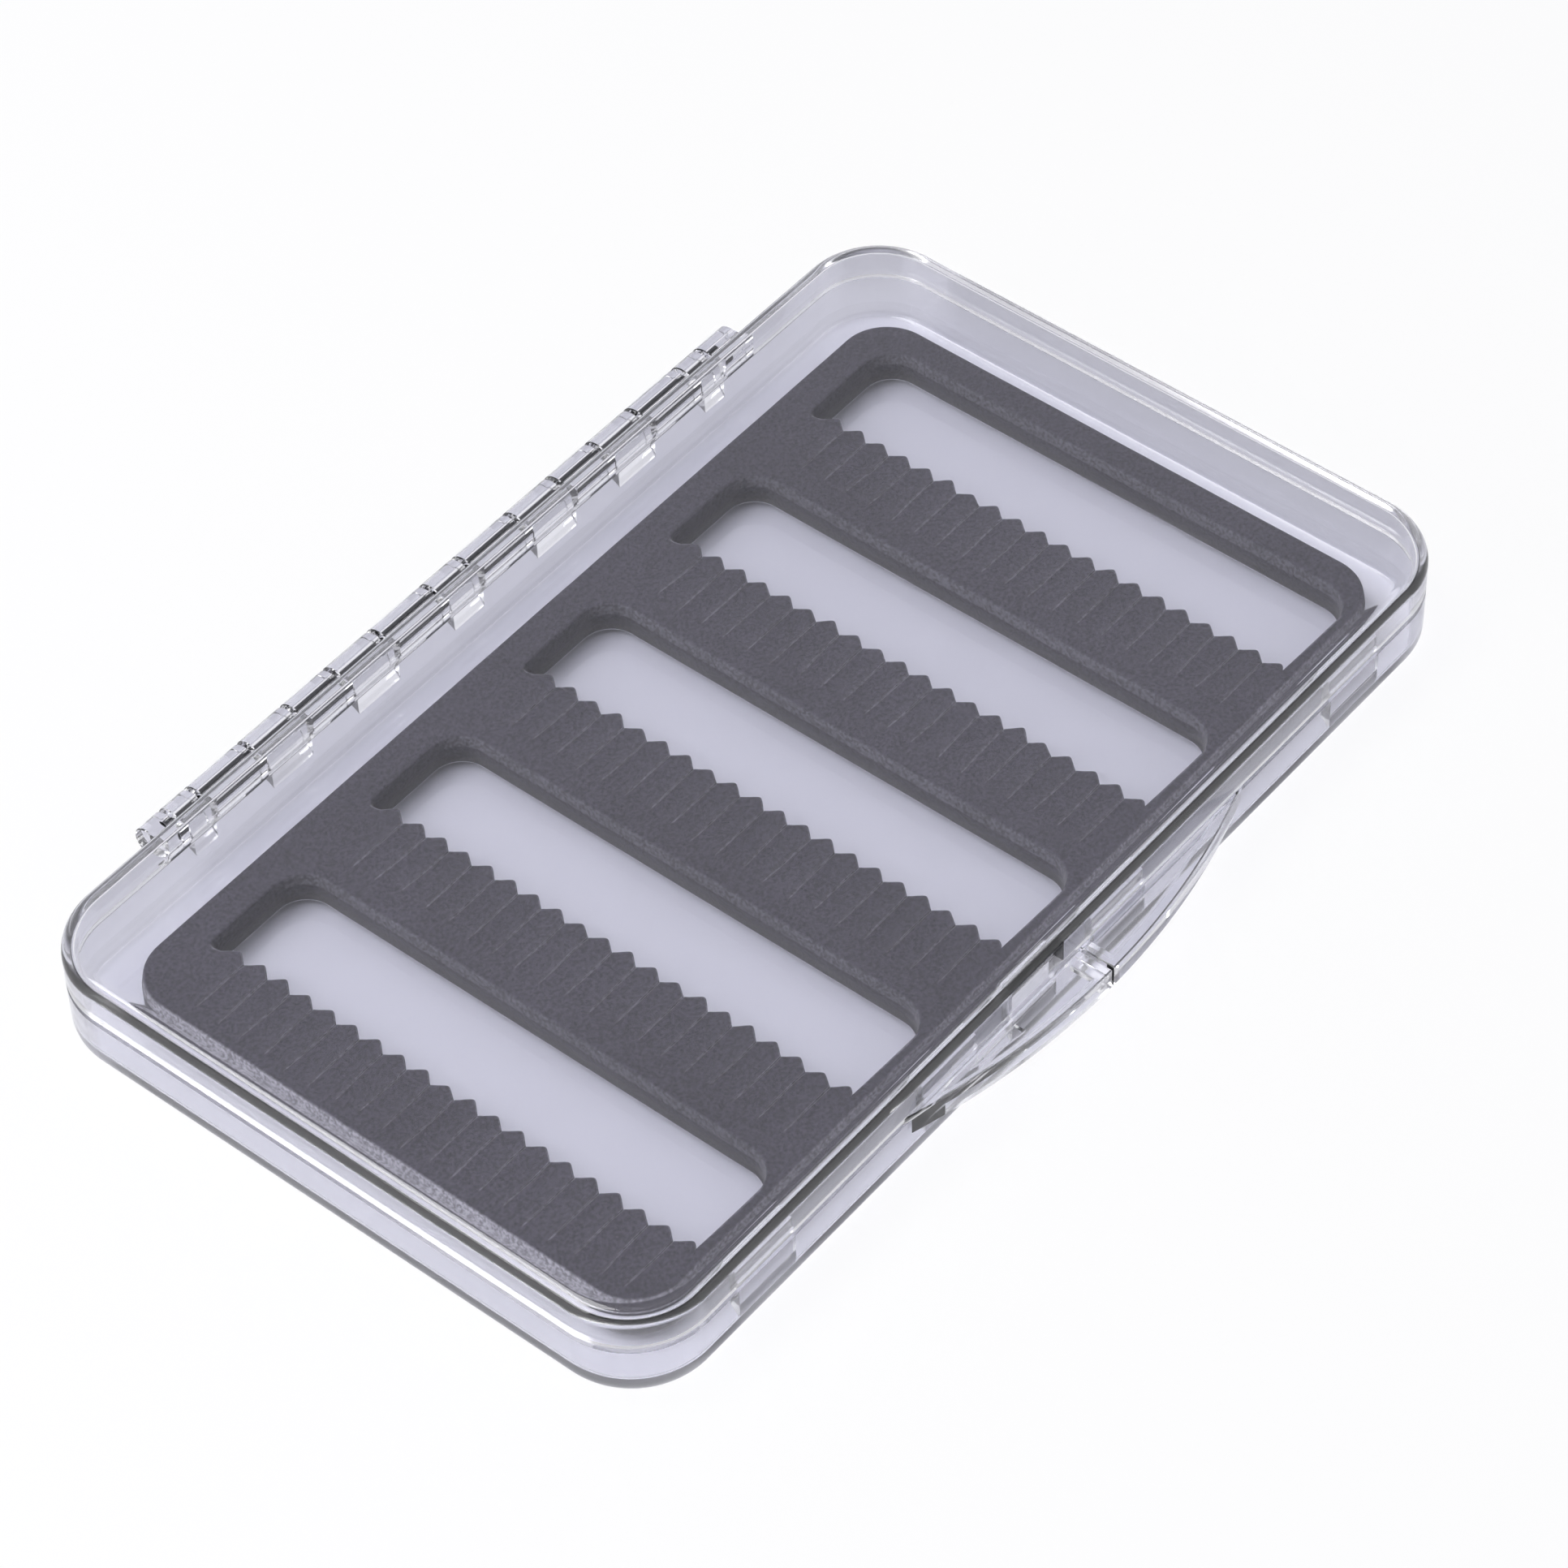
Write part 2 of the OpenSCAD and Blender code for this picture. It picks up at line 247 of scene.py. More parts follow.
def mix_value(tree: Tree, factor: Any, first: Any, second: Any) -> Socket:
    """Mixes two values, each a socket or a number: a factor of 0 gives the first."""
    return add_node(tree, "ShaderNodeMix", data_type="FLOAT", in_0=factor, in_2=first,
                    in_3=second).outputs[0]


def bump(tree: Tree, height: Socket, strength: float, depth: float) -> Socket:
    """Turns a height from 0 to 1 into a normal. The depth of a height of 1 is in millimetres."""
    return add_node(tree, "ShaderNodeBump", in_Strength=strength, in_Distance=depth * MM,
                    in_Height=height).outputs["Normal"]


def new_group(name: str, inputs: Iterable[tuple[str, str, Any]],
              outputs: Iterable[str]) -> tuple[Tree, Any, Any]:
    """Makes a node group with named sockets.

    Args:
        name: The group's name.
        inputs: Name, kind and starting value of each input.
        outputs: Name of each output, all of them values.

    Returns:
        The group, the sockets that come in and the sockets that go out.
    """
    group = bpy.data.node_groups.new(name, "ShaderNodeTree")
    for label, kind, value in inputs:
        socket = group.interface.new_socket(label, in_out="INPUT", socket_type=f"NodeSocket{kind}")
        if value is not None:
            socket.default_value = value
    for label in outputs:
        group.interface.new_socket(label, in_out="OUTPUT", socket_type="NodeSocketFloat")
    given, out = group.nodes.new("NodeGroupInput"), group.nodes.new("NodeGroupOutput")
    return group, given.outputs, out.inputs


# ---- Shared effects -----------------------------------------------------------------------


class Effects:
    """Node groups for the effects that several finishes use.

    A band is where a mask goes from 0 to 1: of a noise's value, or in millimetres.
    """

    hair_band: Pair = (0.69, 0.74)
    cloud_band: Pair = (0.48, 0.62)
    edge_band: Pair = (-0.6, 0.4)

    def __init__(self) -> None:
        """Builds the groups."""
        self.scuffs = self.make_scuffs()
        self.mottle = self.make_mottle()
        self.edge_zone = self.make_edge_zone()

    def make_scuffs(self) -> Tree:
        """Makes fine handling marks: hairlines in two directions where a slow cloud lets them show.

        Returns:
            The group. Its Mask is 0 on clean surface and 1 on a mark, and its Wave is a gentle
            height from the flow of the moulding.
        """
        group, given, out = new_group(
            "handling marks", [("Vector", "Vector", None), ("Density", "Float", 0.5)],
            ["Mask", "Wave"])
        cloud = add_node(group, "ShaderNodeTexNoise", in_Scale=38.0, in_Detail=3.0,
                         in_Vector=given["Vector"])
        lines: list[Socket] = []
        for angle, stretch in ((0.5, (1400.0, 26.0, 60.0)), (-0.9, (1100.0, 18.0, 60.0))):
            turn = add_node(group, "ShaderNodeMapping", in_Rotation=(0.0, 0.0, angle),
                            in_Scale=stretch, in_Vector=given["Vector"])
            hair = add_node(group, "ShaderNodeTexNoise", in_Scale=1.0, in_Detail=2.0,
                            in_Vector=turn.outputs["Vector"])
            lines.append(ramp(group, hair.outputs["Fac"], *self.hair_band))
        both = math_node(group, "MAXIMUM", *lines)
        shown = ramp(group, cloud.outputs["Fac"], *self.cloud_band)
        mark = math_node(group, "MULTIPLY", both, shown)
        plug(group, out["Mask"], math_node(group, "MULTIPLY", mark, given["Density"], clamp=True))
        flow = add_node(group, "ShaderNodeTexNoise", in_Scale=55.0, in_Detail=1.0,
                        in_Vector=given["Vector"])
        plug(group, out["Wave"], flow.outputs["Fac"])
        return group

    @staticmethod
    def make_mottle() -> Tree:
        """Makes two scales of soft variation, a slow one and a fine one.

        Returns:
            The group. Slow and Fine are each about 0.5 in the middle and range from 0 to 1.
        """
        group, given, out = new_group(
            "slow and fine mottle", [("Vector", "Vector", None), ("Slow scale", "Float", 60.0),
                                     ("Fine scale", "Float", 3000.0)], ["Slow", "Fine"])
        for label, detail in (("Slow", 2.0), ("Fine", 3.0)):
            noise = add_node(group, "ShaderNodeTexNoise", in_Detail=detail,
                             in_Vector=given["Vector"], in_Scale=given[f"{label} scale"])
            plug(group, out[label], noise.outputs["Fac"])
        return group

    def make_edge_zone(self) -> Tree:
        """Makes a mask of the walls and edges of a rounded rectangle seen in plan.

        The distance, 0 on the outline and less inside it, is the length of what passes the
        corner circle's centre in x and y, less its radius.

        Returns:
            The group. Its Mask is 0 on the flat middle and 1 from Depth inwards of the outline
            and beyond. Half is the corner circle's centre.
        """
        group, given, out = new_group(
            "walls and edges", [("Vector", "Vector", None), ("Half", "Vector", None),
                                ("Corner", "Float", 0.01), ("Depth", "Float", 0.003)], ["Mask"])
        flat = vector_node(group, "MULTIPLY", given["Vector"], (1.0, 1.0, 0.0))
        quarter = vector_node(group, "ABSOLUTE", flat.outputs[0])
        past = vector_node(group, "SUBTRACT", quarter.outputs[0], given["Half"])
        past = vector_node(group, "MAXIMUM", past.outputs[0], (0.0, 0.0, 0.0))
        length = vector_node(group, "LENGTH", past.outputs[0])
        gap = math_node(group, "SUBTRACT", length.outputs["Value"], given["Corner"])
        near = math_node(group, "ADD", gap, given["Depth"])
        low, high = self.edge_band
        plug(group, out["Mask"], ramp(group, near, low * MM, high * MM))
        return group


def place(tree: Tree, group: Tree, where: Socket, **values: Any) -> Any:
    """Places a node group at some coordinates with its own values, and gives its outputs."""
    return add_node(tree, "ShaderNodeGroup", node_tree=group, in_Vector=where, **values).outputs


# ---- Finishes -----------------------------------------------------------------------------


class Canvas:
    """A new material: a Principled shader on its output, and the piece's own coordinates."""

    def __init__(self, name: str) -> None:
        """Makes the material under its name.

        Args:
            name: The material's name.
        """
        self.material = bpy.data.materials.new(name)
        self.material.use_nodes = True
        self.tree = self.material.node_tree
        self.tree.nodes.clear()
        self.shader = add_node(self.tree, "ShaderNodeBsdfPrincipled")
        self.output = add_node(self.tree, "ShaderNodeOutputMaterial",
                               in_Surface=self.shader.outputs[0])
        self.where = add_node(self.tree, "ShaderNodeTexCoord").outputs["Object"]

    def set(self, **values: Any) -> None:
        """Sets or links the Principled shader's inputs, each by its name with _ for a space."""
        for name, value in values.items():
            plug(self.tree, self.shader.inputs[name.replace("_", " ")], value)

    def cover(self, factor: Socket, other: Node) -> None:
        """Mixes another shader over the Principled one by a factor."""
        mixer = add_node(self.tree, "ShaderNodeMixShader", in_0=factor,
                         in_1=self.shader.outputs[0], in_2=other.outputs[0])
        plug(self.tree, self.output.inputs["Surface"], mixer.outputs[0])


class Finish:
    """A finish: a name, and a way to paint a new material."""

    name: str

    def build(self, effects: Effects) -> bpy.types.Material:
        """Makes the material and has it painted.

        Args:
            effects: The shared node groups.

        Returns:
            The material.
        """
        canvas = Canvas(self.name)
        self.paint(canvas, effects)
        return canvas.material

    def paint(self, canvas: Canvas, effects: Effects) -> None:
        """Paints the material, in each finish's own way."""
        raise NotImplementedError


@dataclass(frozen=True)
class ClearPlastic(Finish):
    """Clear moulded polystyrene with faint flow lines and handling marks.

    The walls and the underside are a little softer than the polished flats and the knuckles.
    A band is where one changes to the next, and a bump is its strength and its depth.
    """

    name: str
    sizes: CaseSizes
    tint: Colour = (0.965, 0.965, 0.98)
    wall_tint: Colour = (0.995, 0.995, 1.0)
    foot_tint: Colour = (0.97, 0.97, 0.985)
    shadow_tint: Colour = (0.93, 0.93, 0.95)
    index: float = 1.58
    roughness: float = 0.015
    wall_roughness: float = 0.08
    underside_roughness: float = 0.5
    mark_roughness: float = 0.25
    scuffs: float = 0.35
    edge_depth: float = 2.2
    knuckle_band: Pair = (45.2, 45.6)
    foot_band: Pair = (2.6, 1.2)
    underside_band: Pair = (1.2, 0.2)
    flow_bump: Pair = (0.15, 0.05)

    def paint(self, canvas: Canvas, effects: Effects) -> None:
        """Paints the material. Light from the lamps passes it, a little dimmed.

        Args:
            canvas: The new material.
            effects: The shared node groups.
        """
        tree, where = canvas.tree, canvas.where
        marks = place(tree, effects.scuffs, where, in_Density=self.scuffs)
        edge = place(tree, effects.edge_zone, where, in_Corner=self.sizes.corner * MM,
                     in_Half=(*(self.sizes.corner_centre * MM), 0.0),
                     in_Depth=self.edge_depth * MM)["Mask"]
        axes = add_node(tree, "ShaderNodeSeparateXYZ", in_Vector=where).outputs
        knuckle, foot, underside = [
            ramp(tree, axes[axis], start * MM, end * MM) for axis, (start, end) in
            (("Y", self.knuckle_band), ("Z", self.foot_band), ("Z", self.underside_band))]
        satin = mix_value(tree, edge, self.roughness, self.wall_roughness)
        satin = mix_value(tree, knuckle, satin, self.roughness)
        satin = mix_value(tree, underside, satin, self.underside_roughness)
        tint = mix_colour(tree, foot, self.wall_tint, self.foot_tint)
        tint = mix_colour(tree, knuckle, tint, self.tint)
        canvas.set(
            Transmission_Weight=1.0, IOR=self.index,
            Base_Color=mix_colour(tree, edge, self.tint, tint),
            Roughness=math_node(tree, "MULTIPLY_ADD", marks["Mask"], self.mark_roughness, satin),
            Normal=bump(tree, marks["Wave"], *self.flow_bump))
        canvas.cover(add_node(tree, "ShaderNodeLightPath").outputs[Ray.SHADOW.value],
                     add_node(tree, "ShaderNodeBsdfTransparent", in_Color=self.shadow_tint))


@dataclass(frozen=True)
class DrawnSteel(Finish):
    """Drawn steel wire, with fine lines along its length."""

    name: str = "drawn steel wire"
    light: Colour = (0.08, 0.08, 0.088)
    dark: Colour = (0.035, 0.035, 0.04)
    roughness: Pair = (0.2, 0.38)
    line_bump: Pair = (0.3, 0.01)

    def paint(self, canvas: Canvas, effects: Effects) -> None:
        """Paints the material.

        Args:
            canvas: The new material.
            effects: The shared node groups.
        """
        tree = canvas.tree
        along = add_node(tree, "ShaderNodeMapping", in_Scale=(0.04, 1.0, 1.0),
                         in_Vector=canvas.where)
        grain = place(tree, effects.mottle, along.outputs["Vector"], in_Slow_scale=400.0,
                      in_Fine_scale=6000.0)
        canvas.set(Metallic=1.0, Base_Color=mix_colour(tree, grain["Fine"], self.dark, self.light),
                   Roughness=ramp(tree, grain["Slow"], *NOISE_RANGE, *self.roughness),
                   Normal=bump(tree, grain["Fine"], *self.line_bump))


@dataclass(frozen=True)
class CutFoam(Finish):
    """Fine closed-cell foam, dark and matte: lighter and rougher on the sliced slits, and painted
    highlight on the shoulders that face the lamps.
    """

    name: str = "dark grey closed-cell foam"
    face: Colour = (0.039, 0.036, 0.050)
    # Lighter colour: the slits' sliced foam, and also a painted highlight on the shoulders that face the
    # lamps.
    cut: Colour = (0.250, 0.244, 0.280)
    fine_gain: Pair = (0.55, 1.45)
    slow_gain: Pair = (0.93, 1.07)
    roughness: Pair = (0.75, 0.95)
    cell_bump: Pair = (0.8, 0.08)

    def paint(self, canvas: Canvas, effects: Effects) -> None:
        """Paints the material. A mesh attribute says how far a point takes the lighter colour: the sliced
        slits' own colour, and painted highlight on the shoulders.

        Args:
            canvas: The new material.
            effects: The shared node groups.
        """
        tree = canvas.tree
        cells = place(tree, effects.mottle, canvas.where, in_Slow_scale=70.0, in_Fine_scale=2300.0)
        # This attribute carries the slits' lighter colour and the shoulders' painted highlight.
        edge = add_node(tree, "ShaderNodeAttribute", attribute_name="cut")
        gain = math_node(tree, "MULTIPLY",
                         ramp(tree, cells["Fine"], *NOISE_RANGE, *self.fine_gain),
                         ramp(tree, cells["Slow"], *NOISE_RANGE, *self.slow_gain))
        base = vector_node(tree, "SCALE", mix_colour(tree, edge.outputs["Fac"], self.face, self.cut))
        plug(tree, base.inputs["Scale"], gain)
        canvas.set(Base_Color=base.outputs[0], Sheen_Weight=0.12, Specular_IOR_Level=0.3,
                   Roughness=ramp(tree, cells["Fine"], *NOISE_RANGE, *self.roughness),
                   Normal=bump(tree, cells["Fine"], *self.cell_bump))


@dataclass(frozen=True)
class MilkyFilm(Finish):
    """Thin milky double-sided adhesive film, with small trapped bubbles."""

    name: str = "milky adhesive film"
    light: Colour = (0.44, 0.43, 0.49)
    dark: Colour = (0.38, 0.375, 0.43)
    wet_band: Pair = (0.4, 0.62)
    roughness: Pair = (0.35, 0.55)

    def paint(self, canvas: Canvas, effects: Effects) -> None:
        """Paints the material.

        Args:
            canvas: The new material.
            effects: The shared node groups.
        """
        tree = canvas.tree
        spots = place(tree, effects.mottle, canvas.where, in_Slow_scale=150.0, in_Fine_scale=1400.0)
        wet = ramp(tree, spots["Fine"], *self.wet_band)
        canvas.set(Base_Color=mix_colour(tree, wet, self.dark, self.light),
                   Roughness=ramp(tree, spots["Slow"], *NOISE_RANGE, *self.roughness))


# ---- Meshes -------------------------------------------------------------------------------


def link_new(name: str, data: Any) -> Piece:
    """Makes an object from its data and puts it in the scene."""
    made = bpy.data.objects.new(name, data)
    bpy.context.scene.collection.objects.link(made)
    return made


def new_mesh(name: str, points: np.ndarray, faces: list[list[int]]) -> bpy.types.Mesh:
    """Makes a mesh, in metres, from points in millimetres.

    Args:
        name: The mesh's name.
        points: Points by 3, in millimetres.
        faces: Rows of point numbers.

    Returns:
        The mesh.
    """
    mesh = bpy.data.meshes.new(name)
    mesh.from_pydata((points * MM).tolist(), [], faces)
    mesh.update()
    return mesh


def dress(part: Piece, material: bpy.types.Material) -> None:
    """Gives every material slot of a piece the same finish.

    Args:
        part: The piece.
        material: The finish.
    """
    if not part.material_slots:
        part.data.materials.append(material)
    for slot in part.material_slots:
        slot.material = material


def arc(centre: Pair, radius: float, start: float, end: float, count: int) -> np.ndarray:
    """Points on a circle: the centre plus the radius times the cosine and sine of the angle.

    Args:
        centre: The circle's centre.
        radius: The circle's radius.
        start: The first point's angle in degrees.
        end: The last point's angle in degrees.
        count: How many points.

    Returns:
        An array of count by 2.
    """
    angle = np.radians(np.linspace(start, end, count))
    return np.array(centre) + radius * np.stack([np.cos(angle), np.sin(angle)], 1)


def rectangle(low: Pair, high: Pair) -> np.ndarray:
    """The outline of a rectangle from its lowest and its highest corner, anticlockwise."""
    return np.array([low, (high[0], low[1]), high, (low[0], high[1])])


@dataclass
class Solid:
    """A closed mesh in millimetres: its points, and its faces as rows of point numbers."""

    points: np.ndarray
    faces: list[list[int]]

    @staticmethod
    def join(solids: list["Solid"]) -> "Solid":
        """Puts several solids that don't touch into one mesh."""
        starts = np.cumsum([0] + [len(s.points) for s in solids])
        faces = [[start + i for i in face] for start, s in zip(starts, solids) for face in s.faces]
        return Solid(np.concatenate([s.points for s in solids]), faces)

    def piece(self, name: str) -> Piece:
        """Makes a Blender object whose faces point outwards.

        Args:
            name: The object's name.

        Returns:
            The object.
        """
        mesh = new_mesh(name, self.points, self.faces)
        work = bmesh.new()
        work.from_mesh(mesh)
        bmesh.ops.recalc_face_normals(work, faces=work.faces)
        work.to_mesh(mesh)
        work.free()
        return link_new(name, mesh)


def lofted(rings: np.ndarray) -> Solid:
    """A closed solid through a stack of rings: quads between rings, and a lid on each end.

    Args:
        rings: An array of rings by points by 3. Every ring has its points in the same order.

    Returns:
        The solid.
    """
    levels, count = rings.shape[:2]
    here = np.arange(count)
    after = np.roll(here, -1)
    base = (np.arange(levels - 1) * count)[:, None]
    quads = np.stack([base + here, base + after, base + count + after, base + count + here], 2)
    faces = quads.reshape(-1, 4).tolist()
    faces += [here[::-1].tolist(), (here + (levels - 1) * count).tolist()]
    return Solid(rings.reshape(-1, 3), faces)


def prism(outline: np.ndarray, low: float, high: float, along_x: bool = False,
          chamfer: float = 0.0, least: float = 0.3) -> Solid:
    """An outline carried along an axis, with its two end edges broken by a small chamfer.

    A point moves in along the sum of its sides' normals over half of that sum's squared length.

    Args:
        outline: Points by 2, anticlockwise: x and y, or y and z when it runs along X.
        low: Where it starts on the axis.
        high: Where it ends on the axis.
        along_x: Whether the axis is X and not Z.
        chamfer: How far the end edges are cut back.
        least: The least of the halves that are divided by, so that a sharp corner isn't flung off.

    Returns:
        The solid.
    """
    steps = [(low, 0.0), (high, 0.0)]
    if chamfer:
        steps = [(low, chamfer), (low + chamfer, 0.0), (high - chamfer, 0.0), (high, chamfer)]
    ahead = np.roll(outline, -1, axis=0) - outline
    ahead /= np.linalg.norm(ahead, axis=1, keepdims=True)
    mean = ahead + np.roll(ahead, 1, axis=0)
    into = np.stack([-mean[:, 1], mean[:, 0]], 1)
    into /= np.maximum((into ** 2).sum(1, keepdims=True) / 2, least)
    rings = []
    for place, inset in steps:
        level = outline + into * inset
        column = np.full((len(level), 1), place)
        rings.append(np.hstack([column, level] if along_x else [level, column]))
    return lofted(np.array(rings))


def bake_modifiers(piece: Piece) -> None:
    """Puts what a piece's modifiers make into its own mesh and removes them.

    Args:
        piece: The piece.
    """
    bpy.context.view_layer.update()
    graph = bpy.context.evaluated_depsgraph_get()
    baked = bpy.data.meshes.new_from_object(piece.evaluated_get(graph), depsgraph=graph)
    old = piece.data
    piece.modifiers.clear()
    piece.data = baked
    bpy.data.meshes.remove(old)
    baked.name = piece.name


def combine(target: Piece, tool: Solid | Piece, operation: str) -> None:
    """Adds a solid to a piece, or cuts it away, and leaves no tool behind.

    Args:
        target: The piece that changes.
        tool: The solid, or a piece made of one.
        operation: UNION or DIFFERENCE.
    """
    other = tool.piece("tool") if isinstance(tool, Solid) else tool
    modifier = target.modifiers.new("combine", "BOOLEAN")
    modifier.object = other
    modifier.operation = operation
    modifier.solver = "EXACT"
    bake_modifiers(target)
    bpy.data.objects.remove(other)


def soften(piece: Piece, angle: float = 28.0) -> None:
    """Shades a piece smooth but for its real edges, and keeps its flat faces flat.

    Args:
        piece: The piece.
        angle: Edges sharper than this, in degrees, stay sharp.
    """
    mesh = piece.data
    mesh.polygons.foreach_set("use_smooth", np.ones(len(mesh.polygons), bool))
    mesh.set_sharp_from_angle(angle=math.radians(angle))
    weighted = piece.modifiers.new("weighted", "WEIGHTED_NORMAL")
    weighted.keep_sharp = True
    weighted.weight = 100
    bake_modifiers(piece)


# ---- Sub-assemblies -----------------------------------------------------------------------


@dataclass(frozen=True)
class Shell:
    """What the lid and the base share: swept walls, knuckles, and half of the pull tab.

    What cuts passes the surface by the overshoot, or beside a wall by the overlap, and what is
    added sinks in by the overlap.
    """

    sizes: CaseSizes
    arc_steps: int = 28
    side_steps: int = 12
    edge_steps: int = 14
    flat_inset: float = 1.0
    support: float = 0.15
    rim_support: float = 0.08
    knuckle_chamfer: float = 0.12
    tab_chamfer: float = 0.15
    bore_steps: int = 48
    tab_steps: int = 60
    barrel_steps: int = 60
    overshoot: float = 1.0
    overlap: float = 0.2

    def cup(self, section: list[Pair]) -> Solid:
        """Carries a section round the plan: a point on the rectangle through the four corner
        centres, plus the outward direction times the corner radius less the section's inset.

        Args:
            section: Inset from the outline and height, for each ring.

        Returns:
            The solid.
        """
        half = self.sizes.corner_centre
        centres, directions = [], []
        for sign, start in (((1, 1), 0), ((-1, 1), 90), ((-1, -1), 180), ((1, -1), 270)):
            way = arc((0, 0), 1, start, start + 90, self.arc_steps)
            centre, following = half * sign, half * (-sign[1], sign[0])
            share = np.linspace(0, 1, self.side_steps)[1:-1, None]
            centres += [np.repeat(centre[None], len(way), 0), centre + share * (following - centre)]
            directions += [way, np.repeat(way[-1][None], self.side_steps - 2, 0)]
        spine, out = np.concatenate(centres), np.concatenate(directions)
        inset, height = np.array(section).T
        plan = spine[None] + out[None] * (self.sizes.corner - inset)[:, None, None]
        tall = np.repeat(height[:, None, None], len(spine), 1)
        return lofted(np.concatenate([plan, tall], 2))

    def section(self, edge: float, inner: float, outside: float, rim: float) -> list[Pair]:
        """A shell's section: flat, outer edge, wall, rim, inner wall, inner edge, inner flat.

        Args:
            edge: Radius of the outer edge.
            inner: Radius of the inner edge.
            outside: Height of the outer flat.
            rim: Height of the rim.

        Returns:
            Inset from the outline and height, for each ring.
        """
        z = self.sizes
        way = 1 if rim > outside else -1
        inside = outside + way * (z.floor if way > 0 else z.wall)
        deep, chamfer = z.corner - self.flat_inset, z.rim_chamfer
        middle = 270 if way > 0 else 90
        return [(deep, outside), (edge + self.support, outside),
                *arc((edge, outside + way * edge), edge, middle, 180, self.edge_steps),
                (0, outside + way * (edge + self.support)),
                (0, rim - way * (chamfer + self.rim_support)), (0, rim - way * chamfer),
                (chamfer, rim), (z.wall, rim),
                (z.wall, inside + way * (inner + self.support)),
                *arc((z.wall + inner, inside + way * inner), inner, 180, middle, self.edge_steps),
                (z.wall + inner + self.support, inside), (deep, inside)]

    def knuckles(self, first: int, outline: np.ndarray) -> Solid:
        """Every knuckle of one shell: its outline carried along X between its joints.

        Args:
            first: 0 for the base, which has the middle knuckle, and 1 for the lid.
            outline: The knuckle's outline in y and z.

        Returns:
            The knuckles.
        """
        z = self.sizes
        gap = z.knuckle_gap / 2
        inner = (-z.knuckle_joints[0], *z.knuckle_joints)
        outer = (*z.knuckle_joints, z.open_reach + gap)
        mirrored = (*z.knuckle_joints, z.blind_reach + gap)
        made: list[Solid] = []
        for i in range(first, len(outer), 2):
            start = inner[i] + gap
            spans = [(start, outer[i] - gap)]
            if i:
                spans.append((gap - mirrored[i], -start))
            made += [prism(outline, z.row_shift + low, z.row_shift + high, True,
                           self.knuckle_chamfer) for low, high in spans]
        return Solid.join(made)

    def bore(self, start: float, end: float, clearance: float) -> Solid:
        """The pin's bore: a cylinder along X on the pin's axis."""
        z = self.sizes
        ring = arc((z.pin_y, z.pin_z), z.pin_radius + clearance, 0, 360, self.bore_steps + 1)
        return prism(ring[:-1], start, end, True)

    def tab_outline(self, side: int, inward: float, from_seam: float, inner_y: float) -> np.ndarray:
        """Plan of one half of the tab, or of the hollow behind its rim: an arc about the tab's
        centre, and a straight inner side.

        Args:
            side: -1 for the half on -X and 1 for the half on +X.
            inward: How far the arc is drawn in.
            from_seam: Where the plan starts, from the middle.
            inner_y: The inner side's y.

        Returns:
            The outline, anticlockwise.
        """
        z = self.sizes
        radius = z.tab_radius - inward
        centre = z.latch_y - z.tab_reach + z.tab_radius
        far = math.sqrt(radius ** 2 - (centre - inner_y) ** 2)
        x = np.linspace(from_seam, far, self.tab_steps)
        edge = np.stack([x, centre - np.sqrt(radius ** 2 - x ** 2)], 1)
        outline = np.concatenate([edge, [[from_seam, inner_y]]])
        return outline if side > 0 else (outline * (-1, 1))[::-1]

    def half_tab(self, side: int) -> Piece:
        """One half of the tab as a slab, from the middle of the wall to its outer arc."""
        z = self.sizes
        plan = self.tab_outline(side, 0, z.tab_seam / 2, z.latch_y + z.wall / 2)
        return prism(plan, z.tab_foot, z.tab_top, chamfer=self.tab_chamfer).piece("half_tab")

    def relief(self, side: int, low: float, high: float) -> Solid:
        """What comes off a half of the tab to clear the other shell's wall.

        Args:
            side: -1 for the half on -X and 1 for the half on +X.
            low: Where it starts on Z.
            high: Where it ends on Z.

        Returns:
            The solid.
        """
        z = self.sizes
        ends = sorted((0.0, side * z.tab_span))
        near = z.latch_y - z.tab_clearance
        return prism(rectangle((ends[0], near), (ends[1], z.latch_y + 2 * z.wall)), low, high)

    def finish(self, piece: Piece, effects: Effects) -> None:
        """Shades and dresses a shell, puts it on its body and hides the CAD node that it takes the place
        of.

        Args:
            piece: The shell.
            effects: The shared node groups.
        """
        soften(piece)
        dress(piece, ClearPlastic(f"clear {self.node} plastic", self.sizes).build(effects))
        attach(piece, self.node)
        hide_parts(self.node)
        LOG.info("%s: %d vertices", piece.name, len(piece.data.vertices))


